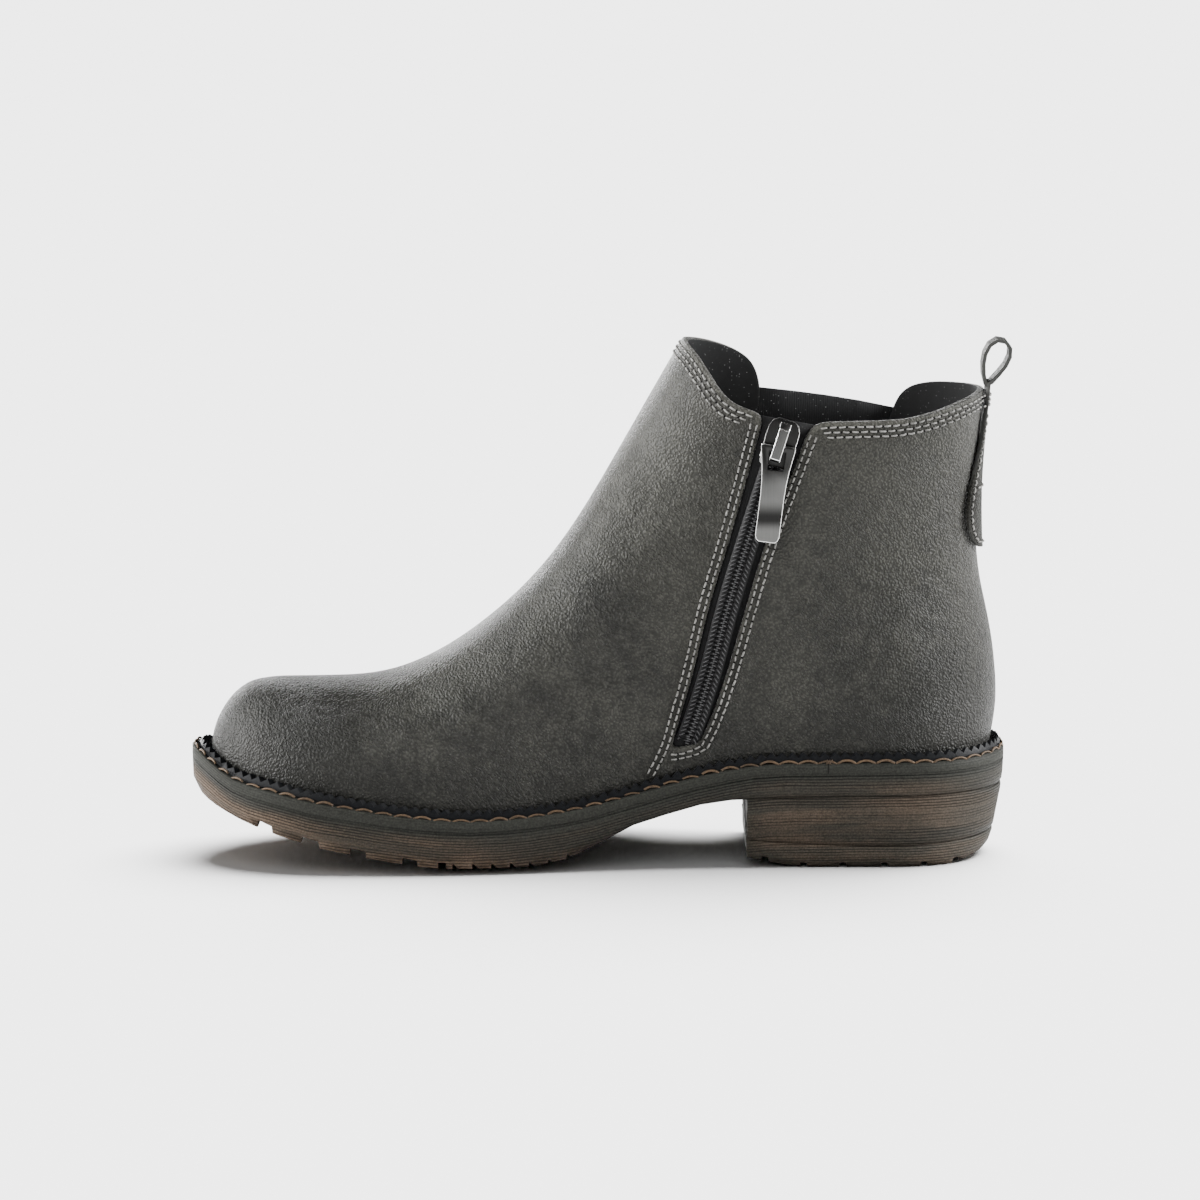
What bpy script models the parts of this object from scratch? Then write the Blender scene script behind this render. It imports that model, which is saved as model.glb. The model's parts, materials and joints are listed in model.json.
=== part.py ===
"""Right-foot ankle bootie: hollow upper over a last, welted sole, low heel, side zip, gore and heel loop.

Tables and sizes are in millimetres and are scaled to metres as each mesh is made.
The toe points to -X, the inner (medial) side with the zip faces -Y, and Z is up from the floor.
"""

import math
from collections import namedtuple

import bmesh
import bpy
import numpy as np
from mathutils import Matrix, Vector

MM = 0.001
GAP = 0.3
PANEL_GAP = 0.5
MEDIAL = -1.0
LATERAL = 1.0

# Driving sizes of the last and the sole
TOE_X = -130.6
HEEL_X = 130.9
SOLE_TOE_X = -136.4
SOLE_HEEL_X = 134.2
TOE_DEPTH = 46.0
HEEL_DEPTH = 34.0
WALL = 2.4
TUCK = 1.5
TUCK_HEIGHT = 7.2
ARCH_POWER = 2.3
OVAL_POWER = 2.4
WELT_THICK = 4.0
BEAD_HEIGHT = 3.2
INSOLE_THICK = 3.6
HEEL_BREAST_X = 47.8
STATIONS = 40

# Zip, slider and pull tab
TAPE_RECESS = 1.1
TAPE_THICK = 1.0
COIL_HALF = 3.4
COIL_BASE = -0.8
COIL_TOP = 0.5
SLIDER_HALF = 5.4
SLIDER_TOP = 2.2
PIVOT_LIFT = 3.65
PIVOT_HEIGHT = 140.0
BRIDGE_HALF = 1.65
BRIDGE_CLEAR = 1.45
BRIDGE_THICK = 1.2
TAB_THICK = 1.3
TAB_TILT = 7.0

# Heel loop
STRAP_THICK = 1.2
STRAP_HALF = 5.2

# Half-widths of the last from its spine, at the widest line
Station = namedtuple("Station", "x medial lateral margin")
LAST = (
    Station(-131.0, 33.0, 34.0, 5.8),
    Station(-100.0, 34.5, 37.5, 5.4),
    Station(-81.0, 35.8, 42.6, 5.0),
    Station(-60.0, 37.4, 47.6, 4.8),
    Station(-40.0, 37.0, 49.8, 4.8),
    Station(-10.0, 34.4, 45.2, 4.6),
    Station(15.0, 32.8, 38.0, 4.3),
    Station(40.0, 31.2, 33.0, 3.9),
    Station(75.0, 30.2, 30.8, 3.4),
    Station(134.0, 30.0, 30.2, 3.3),
)

# Top of the welt along the shoe, with the sweep up at the toe
Seat = namedtuple("Seat", "x z")
SEAT = (
    Seat(-136.4, 38.2),
    Seat(-133.5, 37.0),
    Seat(-130.5, 35.3),
    Seat(-126.0, 32.4),
    Seat(-119.5, 29.4),
    Seat(-111.0, 27.7),
    Seat(-98.0, 24.9),
    Seat(-83.0, 22.3),
    Seat(-64.0, 19.5),
    Seat(-42.0, 17.8),
    Seat(-21.0, 19.1),
    Seat(-5.5, 21.5),
    Seat(10.0, 25.4),
    Seat(25.0, 29.5),
    Seat(40.0, 32.9),
    Seat(58.0, 35.1),
    Seat(90.0, 35.3),
    Seat(118.0, 35.5),
    Seat(134.2, 36.5),
)

# Underside of the outsole: toe spring, forefoot flat, arch and heel seat
UNDER = (
    Seat(-136.4, 22.4),
    Seat(-131.0, 19.6),
    Seat(-123.5, 16.8),
    Seat(-116.0, 14.0),
    Seat(-100.0, 9.0),
    Seat(-84.0, 5.2),
    Seat(-66.0, 1.9),
    Seat(-52.0, 0.0),
    Seat(-24.0, 0.0),
    Seat(-12.5, 2.2),
    Seat(-3.0, 5.2),
    Seat(0.5, 9.0),
    Seat(3.0, 11.0),
    Seat(20.0, 17.2),
    Seat(32.5, 21.3),
    Seat(40.0, 22.8),
    Seat(47.0, 23.2),
    Seat(134.2, 24.2),
)

# Line between heel block and top lift, and the walking face of the top lift
LIFT_TOP = (Seat(47.0, 9.4), Seat(66.0, 7.9), Seat(90.0, 7.1), Seat(112.0, 7.5), Seat(134.2, 9.2))
LIFT_UNDER = (
    Seat(47.0, 3.6),
    Seat(58.0, 1.4),
    Seat(68.0, 0.0),
    Seat(112.0, 0.0),
    Seat(120.0, 1.0),
    Seat(134.2, 4.6),
)

# Ridge from the toe over the vamp and instep to the front of the collar
Profile = namedtuple("Profile", "x z")
RIDGE = (
    Profile(-130.6, 40.0),
    Profile(-129.5, 43.6),
    Profile(-127.8, 48.4),
    Profile(-125.2, 53.1),
    Profile(-121.8, 56.8),
    Profile(-117.5, 59.2),
    Profile(-111.8, 60.0),
    Profile(-100.2, 60.0),
    Profile(-86.8, 59.8),
    Profile(-76.8, 60.3),
    Profile(-66.8, 62.4),
    Profile(-53.5, 68.4),
    Profile(-40.2, 77.3),
    Profile(-26.8, 88.8),
    Profile(-13.5, 104.2),
    Profile(-0.2, 125.8),
    Profile(13.2, 149.3),
    Profile(26.5, 172.5),
)

# Back of the upper by height
BACK = (
    Profile(129.3, 32.4),
    Profile(130.9, 39.6),
    Profile(132.2, 47.0),
    Profile(132.5, 54.0),
    Profile(131.5, 67.3),
    Profile(129.2, 80.7),
    Profile(126.2, 94.2),
    Profile(124.9, 107.6),
    Profile(124.7, 120.0),
    Profile(125.6, 138.0),
    Profile(127.2, 155.8),
)

# Half-width of the leg by height
Leg = namedtuple("Leg", "z half")
LEG = (Leg(60.0, 30.5), Leg(90.0, 31.0), Leg(120.0, 32.0), Leg(150.0, 33.5), Leg(175.0, 34.0))

# Uprights of the upper in the side view, from the feather edge to the collar
ZIP_FRONT = ((22.5, 39.5), (25.8, 50.3), (29.8, 64.3), (35.2, 86.8), (41.8, 109.0), (52.8, 150.2))
ZIP_BACK = ((31.5, 41.1), (35.2, 48.6), (40.8, 64.3), (46.8, 85.2),
            (53.2, 106.9), (62.5, 132.6), (68.2, 148.0))
GORE_FRONT = ((41.5, 60.0), (45.0, 85.0), (49.0, 118.0), (53.1, 151.3))
GORE_BACK = ((75.5, 60.0), (81.0, 90.0), (90.0, 122.0), (98.8, 147.2))
ZIP_FRONT_FOOT = 17.4
ZIP_BACK_FOOT = 25.6
GORE_FRONT_FOOT = 38.0
GORE_BACK_FOOT = 73.0

# Collar edge, inner side then outer side
COLLAR_MEDIAL_FRONT = ((26.5, 172.5), (30.2, 169.0), (34.4, 163.4), (38.5, 157.7),
                       (42.8, 153.9), (47.8, 152.0), (52.8, 150.2))
COLLAR_MEDIAL_BACK = ((68.2, 148.0), (82.8, 148.2), (96.8, 148.3),
                      (107.3, 149.9), (117.8, 152.9), (127.2, 155.8))
COLLAR_LATERAL_FRONT = ((26.5, 172.5), (37.2, 169.0), (44.2, 165.8), (49.2, 162.2),
                        (51.2, 159.1), (52.6, 154.4), (53.1, 151.3))
COLLAR_LATERAL_BACK = ((98.8, 147.2), (99.9, 149.4), (102.5, 152.4),
                       (107.3, 154.3), (114.3, 155.3), (127.2, 155.8))
GORE_TOP = ((53.2, 150.6), (72.2, 148.4), (98.2, 144.5))

# Rows of the upper as fractions along the ridge and along the other uprights
RIDGE_ROWS = (0, 0.016, 0.034, 0.056, 0.082, 0.112, 0.146, 0.186, 0.234, 0.29,
              0.352, 0.42, 0.49, 0.56, 0.635, 0.715, 0.80, 0.90, 1)
SIDE_ROWS = (0, 0.06, 0.131, 0.175, 0.22, 0.265, 0.31, 0.355, 0.40, 0.45,
             0.50, 0.555, 0.61, 0.67, 0.735, 0.80, 0.865, 0.935, 1)
SLOT_ROW = 2
GORE_ROW = 5
FRONT_COLUMNS = 15
SLOT_COLUMNS = 2
GORE_COLUMNS = 4
BACK_COLUMNS = 10
EDGE_POWER = 1.7
BACK_POWER = 1.4
EVEN_ROUNDS = 20

# Edge shape of each sole layer: depth down the side, and inset at sides, toe and heel
Edge = namedtuple("Edge", "depth side toe heel")
OUTSOLE_EDGE = (
    Edge(0.00, 0.12, 0.12, 0.12),
    Edge(0.04, 0.0, 0.0, 0.0),
    Edge(0.55, 0.0, 0.2, 0.2),
    Edge(0.83, 0.8, 2.2, 0.5),
    Edge(1.00, 15.0, 7.0, 1.3),
)
BLOCK_EDGE = (
    Edge(0.00, 1.1, 0.0, 1.4),
    Edge(0.07, 0.5, 0.0, 0.8),
    Edge(0.92, 1.5, 0.0, 3.2),
    Edge(1.00, 2.1, 0.0, 3.9),
)
LIFT_EDGE = (
    Edge(0.00, 2.2, 0.0, 4.1),
    Edge(0.12, 1.6, 0.0, 3.6),
    Edge(0.75, 2.1, 0.0, 4.8),
    Edge(1.00, 3.2, 0.0, 6.2),
)

# Tread: notches right across, saw teeth at both edges, short bars between
Notch = namedtuple("Notch", "x width")
LUG_NOTCHES = (Notch(-110.6, 5.4), Notch(-95.6, 6.6), Notch(-79.9, 6.0),
               Notch(-62.9, 5.6), Notch(-52.4, 3.4))
SAW_TIPS = (-49.8, -43.3, -37.1, -31.0, -24.8, -18.6, -12.4, -6.4)
BAR_GROOVES = (Notch(-38.0, 3.6), Notch(-24.0, 3.6), Notch(-10.5, 3.6))
HEEL_NOTCHES = (Notch(53.8, 2.6), Notch(66.5, 2.6), Notch(79.4, 2.6),
                Notch(93.2, 2.6), Notch(106.3, 2.6), Notch(117.0, 2.4))
LUG_DEPTH = 4.4
SAW_DEPTH = 4.0
BAR_DEPTH = 2.4
HEEL_NOTCH_DEPTH = 1.6
SAW_REACH = 20.0
BAR_HALF = 20.0

# Teardrop tab on the back, half-width by height, and the loop above it
TAB_BACK = (Leg(102.8, 2.6), Leg(103.6, 6.4), Leg(105.2, 9.3), Leg(107.6, 11.4), Leg(111.0, 12.9),
            Leg(115.7, 13.4), Leg(123.0, 12.4), Leg(130.8, 10.4), Leg(138.0, 8.2), Leg(145.0, 6.2),
            Leg(151.0, 5.2), Leg(156.2, 5.2))
LOOP = ((127.0, 157.0), (126.2, 160.5), (126.1, 164.0), (126.7, 167.4), (128.2, 170.2), (130.7, 171.8),
        (133.3, 171.3), (134.9, 169.2), (134.8, 166.4), (133.4, 163.4), (131.1, 160.5), (128.7, 157.9))

# Pull tab outline, half-width by distance below its pivot
TAB_PLATE = (Leg(-1.0, 5.6), Leg(0.0, 5.7), Leg(3.5, 5.2), Leg(7.0, 4.6), Leg(11.0, 4.2), Leg(16.0, 3.95),
             Leg(29.0, 4.0), Leg(30.4, 3.5), Leg(31.0, 2.6))
TAB_WINDOW = (1.0, 7.2, 2.75)


def smooth(knots, values, at):
    """Monotone cubic through a table, so that the curve never overshoots a row."""
    knots = np.asarray(knots, float)
    values = np.asarray(values, float)
    at = np.clip(np.asarray(at, float), knots[0], knots[-1])
    step = np.diff(knots)
    slope = np.diff(values) / step
    tangent = np.zeros_like(values)
    tangent[0] = slope[0]
    tangent[-1] = slope[-1]
    same = slope[:-1] * slope[1:] > 0
    safe_before = np.where(same, slope[:-1], 1.0)
    safe_after = np.where(same, slope[1:], 1.0)
    before = 2 * step[1:] + step[:-1]
    after = step[1:] + 2 * step[:-1]
    mean = (before + after) / (before / safe_before + after / safe_after)
    tangent[1:-1] = np.where(same, mean, 0.0)
    cell = np.clip(np.searchsorted(knots, at, side="right") - 1, 0, len(step) - 1)
    t = (at - knots[cell]) / step[cell]
    start = (1 + 2 * t) * (1 - t) ** 2 * values[cell] + t * (1 - t) ** 2 * step[cell] * tangent[cell]
    end = t * t * (3 - 2 * t) * values[cell + 1] + t * t * (t - 1) * step[cell] * tangent[cell + 1]
    return start + end


def table(rows, key, field, at):
    return smooth([getattr(row, key) for row in rows], [getattr(row, field) for row in rows], at)


def ease(value, low, high):
    t = np.clip((np.asarray(value, float) - low) / (high - low), 0.0, 1.0)
    return t * t * (3 - 2 * t)


def round_end(distance, depth):
    """Quarter ellipse: 0 at the end of the plan outline, 1 from the given depth on."""
    t = 1 - np.clip(np.asarray(distance, float) / depth, 0.0, 1.0)
    return np.sqrt(np.clip(1 - t * t, 0.0, 1.0))


def along(points, fractions):
    """Places at fractions of the length of a smooth curve through side-view points."""
    points = np.asarray(points, float)
    chord = np.concatenate([[0.0], np.cumsum(np.hypot(*np.diff(points, axis=0).T))])
    fine = np.linspace(0.0, chord[-1], 500)
    curve = np.stack([smooth(chord, points[:, 0], fine), smooth(chord, points[:, 1], fine)], axis=1)
    length = np.concatenate([[0.0], np.cumsum(np.hypot(*np.diff(curve, axis=0).T))])
    wanted = np.asarray(fractions, float) * length[-1]
    columns = [np.interp(wanted, length, curve[:, axis]) for axis in (0, 1)]
    return np.stack(columns, axis=1)


# The last


def welt_top(x):
    return table(SEAT, "x", "z", x)


def feather(x):
    """Lower edge of the upper, level with the underside of the welt."""
    return welt_top(x) - WELT_THICK


def outsole_top(x):
    return feather(x) - GAP


def spine(x):
    """Centre line of the foot, drawn to the inner side towards the toe."""
    return -7.0 * (1 - ease(x, -112.0, 42.0))


def half(x, side):
    return table(LAST, "x", "medial" if side < 0 else "lateral", x)


def margin(x):
    return table(LAST, "x", "margin", x)


RIDGE_FINE = along([(row.x, row.z) for row in RIDGE], np.linspace(0, 1, 400))
RIDGE_SLOPE = (RIDGE[-1].z - RIDGE[-2].z) / (RIDGE[-1].x - RIDGE[-2].x)
SHIN_FINE = RIDGE_FINE[RIDGE_FINE[:, 0] > -82.0]


def crown(x):
    """Height of the ridge above a station, carried on in line above the collar."""
    beyond = np.maximum(np.asarray(x, float) - RIDGE[-1].x, 0.0)
    return np.interp(x, RIDGE_FINE[:, 0], RIDGE_FINE[:, 1]) + RIDGE_SLOPE * beyond


def shin_x(z):
    beyond = np.maximum(np.asarray(z, float) - RIDGE[-1].z, 0.0)
    return np.interp(z, SHIN_FINE[:, 1], SHIN_FINE[:, 0]) + beyond / RIDGE_SLOPE


def back_x(z):
    return table(BACK, "z", "x", z)


def leg_share(x, z):
    """0 where the foot governs the section, 1 where the leg does."""
    return ease((z - 62.0) + 0.5 * (x - 40.0), 0.0, 75.0)


def half_width(x, z, side):
    height = z - feather(x)
    tuck = TUCK * np.clip(1 - height / TUCK_HEIGHT, 0.0, 1.0) ** 2
    widest = 8.0 + 6.0 * ease(x, -125.0, -80.0)
    rise = np.clip((height - widest) / np.maximum(crown(x) - feather(x) - widest, 0.5), 0.0, 1.0)
    foot = (half(x, side) - tuck) * np.sqrt(1 - rise**ARCH_POWER)
    foot = foot * round_end(x - (TOE_X + tuck), TOE_DEPTH) * round_end(back_x(z) - x, HEEL_DEPTH)
    middle = (shin_x(z) + back_x(z)) / 2
    reach = np.clip(np.abs(x - middle) / np.maximum(back_x(z) - middle, 1.0), 0.0, 1.0)
    leg = table(LEG, "z", "half", z) * np.sqrt(1 - reach**OVAL_POWER)
    return foot + (leg - foot) * leg_share(x, z)


def centre_y(x, z):
    return spine(x) * (1 - leg_share(x, z))


def wall_y(x, z, side):
    return centre_y(x, z) + side * half_width(x, z, side)


def height_at(x, z, reach, side):
    """Height below the ridge, near z, where the wall stands a given distance out from the middle."""
    high = crown(x)
    low = np.minimum(z - 14.0, high - 0.5)
    for _ in range(26):
        middle = (low + high) / 2
        wide = half_width(x, middle, side) > reach
        low = np.where(wide, middle, low)
        high = np.where(wide, high, middle)
    return (low + high) / 2


def on_wall(x, z, side, lift):
    """Point of the upper's side at a side-view place, lifted along the outward normal."""
    d = 0.4
    slope_x = (wall_y(x + d, z, side) - wall_y(x - d, z, side)) / (2 * d)
    slope_z = (wall_y(x, z + d, side) - wall_y(x, z - d, side)) / (2 * d)
    normal = Vector((-slope_x, 1.0, -slope_z)) * side
    normal.normalize()
    return Vector((x, float(wall_y(x, z, side)), z)) + normal * lift


def wall_normal(x, z, side):
    return on_wall(x, z, side, 1.0) - on_wall(x, z, side, 0.0)


def on_back(y, z, lift):
    """Point of the upper's back at a height and sideways place, lifted outward."""

    def surface(y, z):
        side = MEDIAL if y < 0 else LATERAL
        low = float(back_x(z)) - 45.0
        high = float(back_x(z))
        for _ in range(40):
            x = (low + high) / 2
            if half_width(x, z, side) > abs(y):
                low = x
            else:
                high = x
        return (low + high) / 2

    d = 0.6
    slope_y = (surface(y + d, z) - surface(y - d, z)) / (2 * d)
    slope_z = (surface(y, z + d) - surface(y, z - d)) / (2 * d)
    normal = Vector((1.0, -slope_y, -slope_z))
    normal.normalize()
    return Vector((surface(y, z), y, z)) + normal * lift


# Mesh helpers


def place(bm, points):
    return [bm.verts.new(Vector(point) * MM) for point in points]


def skin(bm, rings, closed=True):
    """Quads between neighbouring rings of vertices."""
    count = len(rings[0])
    span = count if closed else count - 1
    for lower, upper in zip(rings, rings[1:]):
        for i in range(span):
            j = (i + 1) % count
            bm.faces.new((lower[i], lower[j], upper[j], upper[i]))


def cap_across(bm, ring):
    """Closes a ring of stations with strips from the medial to the lateral edge."""
    count = len(ring)
    half_count = count // 2
    for i in range(half_count):
        corners = [ring[i], ring[i + 1], ring[(count - i - 1) % count], ring[(count - i) % count]]
        unique = list(dict.fromkeys(corners))
        if len(unique) > 2:
            bm.faces.new(unique)


def slab(bm, outer, inner):
    """Closed sheet between two grids of points of the same size."""
    top = [place(bm, row) for row in outer]
    low = [place(bm, row) for row in inner]
    skin(bm, top, closed=False)
    skin(bm, low, closed=False)
    last = len(top) - 1
    rims = []
    for sheet in (top, low):
        right = [row[-1] for row in sheet[1:last]]
        left = [row[0] for row in sheet[1:last]]
        rims.append(sheet[0] + right + sheet[last][::-1] + left[::-1])
    rim_top, rim_low = rims
    skin(bm, [rim_top, rim_low])


def add_object(name, bm, colour, roughness=0.6, metallic=0.0):
    bmesh.ops.recalc_face_normals(bm, faces=bm.faces)
    mesh = bpy.data.meshes.new(name)
    bm.to_mesh(mesh)
    bm.free()
    obj = bpy.data.objects.new(name, mesh)
    bpy.context.scene.collection.objects.link(obj)
    material = bpy.data.materials.new(name)
    material.use_nodes = True
    shader = material.node_tree.nodes["Principled BSDF"]
    shader.inputs["Base Color"].default_value = (*colour, 1.0)
    shader.inputs["Roughness"].default_value = roughness
    shader.inputs["Metallic"].default_value = metallic
    material.diffuse_color = (*colour, 1.0)
    mesh.materials.append(material)
    return obj


def hide_helper(obj):
    obj.hide_render = True
    obj.display_type = "WIRE"


def boolean(obj, other, operation):
    modifier = obj.modifiers.new(f"{operation.lower()} {other.name}", "BOOLEAN")
    modifier.object = other
    modifier.operation = operation
    modifier.solver = "EXACT"
    hide_helper(other)


def clear_scene():
    for obj in list(bpy.data.objects):
        bpy.data.objects.remove(obj, do_unlink=True)


# Plan outlines of the sole layers


def plan_point(share, side, edge, at_side=0.0, at_toe=0.0, at_heel=0.0):
    """Point on an outline: edge 0 is the upper's widest line, 1 the sole's edge; offsets are outward."""
    toe = TOE_X + edge * (SOLE_TOE_X - TOE_X) - at_toe
    heel = HEEL_X + edge * (SOLE_HEEL_X - HEEL_X) + at_heel
    x = toe + (heel - toe) * share
    width = half(x, side) + edge * margin(x) + at_side
    width = width * round_end(x - toe, TOE_DEPTH + TOE_X - toe)
    width = width * round_end(heel - x, HEEL_DEPTH + heel - HEEL_X)
    return x, float(spine(x) + side * width)


def shares():
    """Stations from toe to heel, close together at both ends."""
    return [(1 - math.cos(math.pi * i / STATIONS)) / 2 for i in range(STATIONS + 1)]


def outline(level, edge=1.0, easing=None):
    """Plan points from the toe along the inner side to the heel and back along the outer side."""
    points = []
    steps = shares()
    for side, run in ((MEDIAL, steps), (LATERAL, steps[-2:0:-1])):
        for share in run:
            x, _ = plan_point(share, side, edge)
            keep = 1.0 if easing is None else float(easing(x))
            points.append(plan_point(share, side, edge, -level.side * keep, -level.toe, -level.heel))
    return points


def loft_sole(name, edges, top, under, colour, easing=None):
    """Sole layer: rings down the side between two height curves, closed across at both ends."""
    bm = bmesh.new()
    rings = []
    for level in edges:
        ring = []
        for x, y in outline(level, 1.0, easing):
            upper = float(top(x))
            ring.append((x, y, upper + (float(under(x)) - upper) * level.depth))
        rings.append(place(bm, ring))
    skin(bm, rings)
    cap_across(bm, rings[0])
    cap_across(bm, rings[-1])
    return add_object(name, bm, colour, 0.75)


def loft_heel(name, edges, top, under, colour):
    """Heel layer: the rear of the sole outline behind a straight breast."""
    bm = bmesh.new()
    count = 18
    rings = []
    for level in edges:
        heel = SOLE_HEEL_X - level.heel
        turns = [math.pi / 2 * i / count for i in range(count + 1)]
        run = [HEEL_BREAST_X + (heel - HEEL_BREAST_X) * math.sin(turn) for turn in turns]
        ring = []
        for side, xs in ((MEDIAL, run), (LATERAL, run[-2::-1])):
            for x in xs:
                full = half(x, side) + margin(x) - level.side
                width = full * round_end(heel - x, HEEL_DEPTH + heel - HEEL_X)
                upper = float(top(x))
                z = upper + (float(under(x)) - upper) * level.depth
                ring.append((x, float(spine(x) + side * width), z))
        rings.append(place(bm, ring))
    skin(bm, rings)
    for ring in (rings[0], rings[-1]):
        total = len(ring)
        for i in range(total // 2):
            corners = [ring[i], ring[i + 1], ring[total - 2 - i], ring[total - 1 - i]]
            unique = list(dict.fromkeys(corners))
            if len(unique) > 2:
                bm.faces.new(unique)
    return add_object(name, bm, colour, 0.75)


def loft_band(name, section, colour):
    """Closed ring round the shoe: section gives (edge, offset, z above the welt top) for each corner."""
    bm = bmesh.new()
    steps = shares()
    rings = []
    for edge, offset, rise in section:
        ring = []
        for side, run in ((MEDIAL, steps), (LATERAL, steps[-2:0:-1])):
            for share in run:
                x, y = plan_point(share, side, edge, offset, offset, offset)
                ring.append((x, y, float(welt_top(x)) + rise))
        rings.append(place(bm, ring))
    skin(bm, rings + rings[:1])
    return add_object(name, bm, colour, 0.7)


def prism(bm, polygon, low, high):
    """Side-view polygon extruded between two sideways places."""
    near = place(bm, [(x, low, z) for x, z in polygon])
    far = place(bm, [(x, high, z) for x, z in polygon])
    bm.faces.new(near)
    bm.faces.new(far[::-1])
    skin(bm, [near, far])


def under_z(x):
    return float(table(UNDER, "x", "z", x))


def lift_under_z(x):
    return float(table(LIFT_UNDER, "x", "z", x))


def notch_polygon(x, width, depth, under):
    left = x - width / 2
    right = x + width / 2
    return [
        (left - 0.5, under(left) - 2.0),
        (right + 0.5, under(right) - 2.0),
        (right + 0.1, under(right)),
        (right - 0.5, under(right) + depth),
        (left + 0.5, under(left) + depth),
        (left - 0.1, under(left)),
    ]


# Pieces


def build_upper():
    front = [(TOE_X + TUCK, float(feather(TOE_X + TUCK)))] + [(row.x, row.z) for row in RIDGE]
    back = [(row.x, row.z) for row in BACK]
    ridge = along(front, RIDGE_ROWS)
    heel = along(back, SIDE_ROWS)
    zip_front = along([(ZIP_FRONT_FOOT, float(feather(ZIP_FRONT_FOOT)))] + list(ZIP_FRONT), SIDE_ROWS)
    zip_back = along([(ZIP_BACK_FOOT, float(feather(ZIP_BACK_FOOT)))] + list(ZIP_BACK), SIDE_ROWS)
    gore_front = along([(GORE_FRONT_FOOT, float(feather(GORE_FRONT_FOOT)))] + list(GORE_FRONT), SIDE_ROWS)
    gore_back = along([(GORE_BACK_FOOT, float(feather(GORE_BACK_FOOT)))] + list(GORE_BACK), SIDE_ROWS)
    towards_front = [(i / FRONT_COLUMNS) ** EDGE_POWER for i in range(FRONT_COLUMNS + 1)]
    towards_back = [1 - (1 - i / BACK_COLUMNS) ** BACK_POWER for i in range(BACK_COLUMNS + 1)]
    even_slot = [i / SLOT_COLUMNS for i in range(SLOT_COLUMNS + 1)]
    even_gore = [i / GORE_COLUMNS for i in range(GORE_COLUMNS + 1)]
    ends = (RIDGE_ROWS, SIDE_ROWS)
    even = (SIDE_ROWS, SIDE_ROWS)
    straight_slot = (zip_front[-1], zip_back[-1])
    straight_gore = (gore_front[-1], gore_back[-1])
    slot_grid = patch(zip_front, zip_back, straight_slot, even_slot, even)
    gore_grid = patch(gore_front, gore_back, straight_gore, even_gore, even)
    medial = [
        evened(patch(ridge, zip_front, COLLAR_MEDIAL_FRONT, towards_front, ends), MEDIAL),
        slot_grid[:, 1:],
        patch(zip_back, heel, COLLAR_MEDIAL_BACK, towards_back, even)[:, 1:],
    ]
    lateral = [
        evened(patch(ridge, gore_front, COLLAR_LATERAL_FRONT, towards_front, ends), LATERAL),
        gore_grid[:, 1:],
        patch(gore_back, heel, COLLAR_LATERAL_BACK, towards_back, even)[:, 1:],
    ]
    medial = np.concatenate(medial, axis=1)
    lateral = np.concatenate(lateral, axis=1)
    bm = bmesh.new()
    rings = []
    for inner_row, outer_row in zip(medial, lateral):
        ring = []
        for side, row in ((MEDIAL, inner_row), (LATERAL, outer_row[-2:0:-1])):
            for i, (x, z) in enumerate(row):
                on_centre = side < 0 and i in (0, len(row) - 1)
                y = centre_y(x, z) if on_centre else wall_y(x, z, side)
                ring.append((x, float(y), z))
        rings.append(place(bm, ring))
    slot = range(FRONT_COLUMNS, FRONT_COLUMNS + SLOT_COLUMNS)
    inner_count = medial.shape[1] - 1
    gore = range(inner_count + BACK_COLUMNS, inner_count + BACK_COLUMNS + GORE_COLUMNS)
    skin(bm, rings)
    bm.faces.ensure_lookup_table()
    count = len(rings[0])
    opened = []
    for row in range(len(rings) - 1):
        for column in range(count):
            in_slot = column in slot and row >= SLOT_ROW
            in_gore = column in gore and row >= GORE_ROW
            if in_slot or in_gore:
                opened.append(bm.faces[row * count + column])
    bmesh.ops.delete(bm, geom=opened, context="FACES")
    upper = add_object("upper", bm, (0.085, 0.083, 0.075), 0.55)
    shell = upper.modifiers.new("wall", "SOLIDIFY")
    shell.thickness = WALL * MM
    shell.offset = -1.0
    shell.use_even_offset = True
    shell.use_rim = True
    facets = upper.modifiers.new("facets", "TRIANGULATE")
    facets.quad_method = "SHORTEST_DIAGONAL"
    return zip_front, zip_back, slot_grid[SLOT_ROW:], gore_grid[GORE_ROW:]


def patch(left, right, top, columns, weights):
    """Side-view grid filled in between two uprights, the feather edge and the collar edge."""
    columns = np.asarray(columns, float)
    base_x = left[0, 0] + (right[0, 0] - left[0, 0]) * columns
    base = np.stack([base_x, feather(base_x)], axis=1)
    base[0] = left[0]
    base[-1] = right[0]
    collar = along(top, columns)
    collar[0] = left[-1]
    collar[-1] = right[-1]
    grid = np.zeros((len(left), len(columns), 2))
    for row in range(len(left)):
        for column, s in enumerate(columns):
            t = (1 - s) * weights[0][row] + s * weights[1][row]
            rails = (1 - t) * base[column] + t * collar[column] + (1 - s) * left[row] + s * right[row]
            low = (1 - s) * base[0] + s * base[-1]
            high = (1 - s) * collar[0] + s * collar[-1]
            corners = (1 - t) * low + t * high
            grid[row, column] = rails - corners
    return grid


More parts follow.
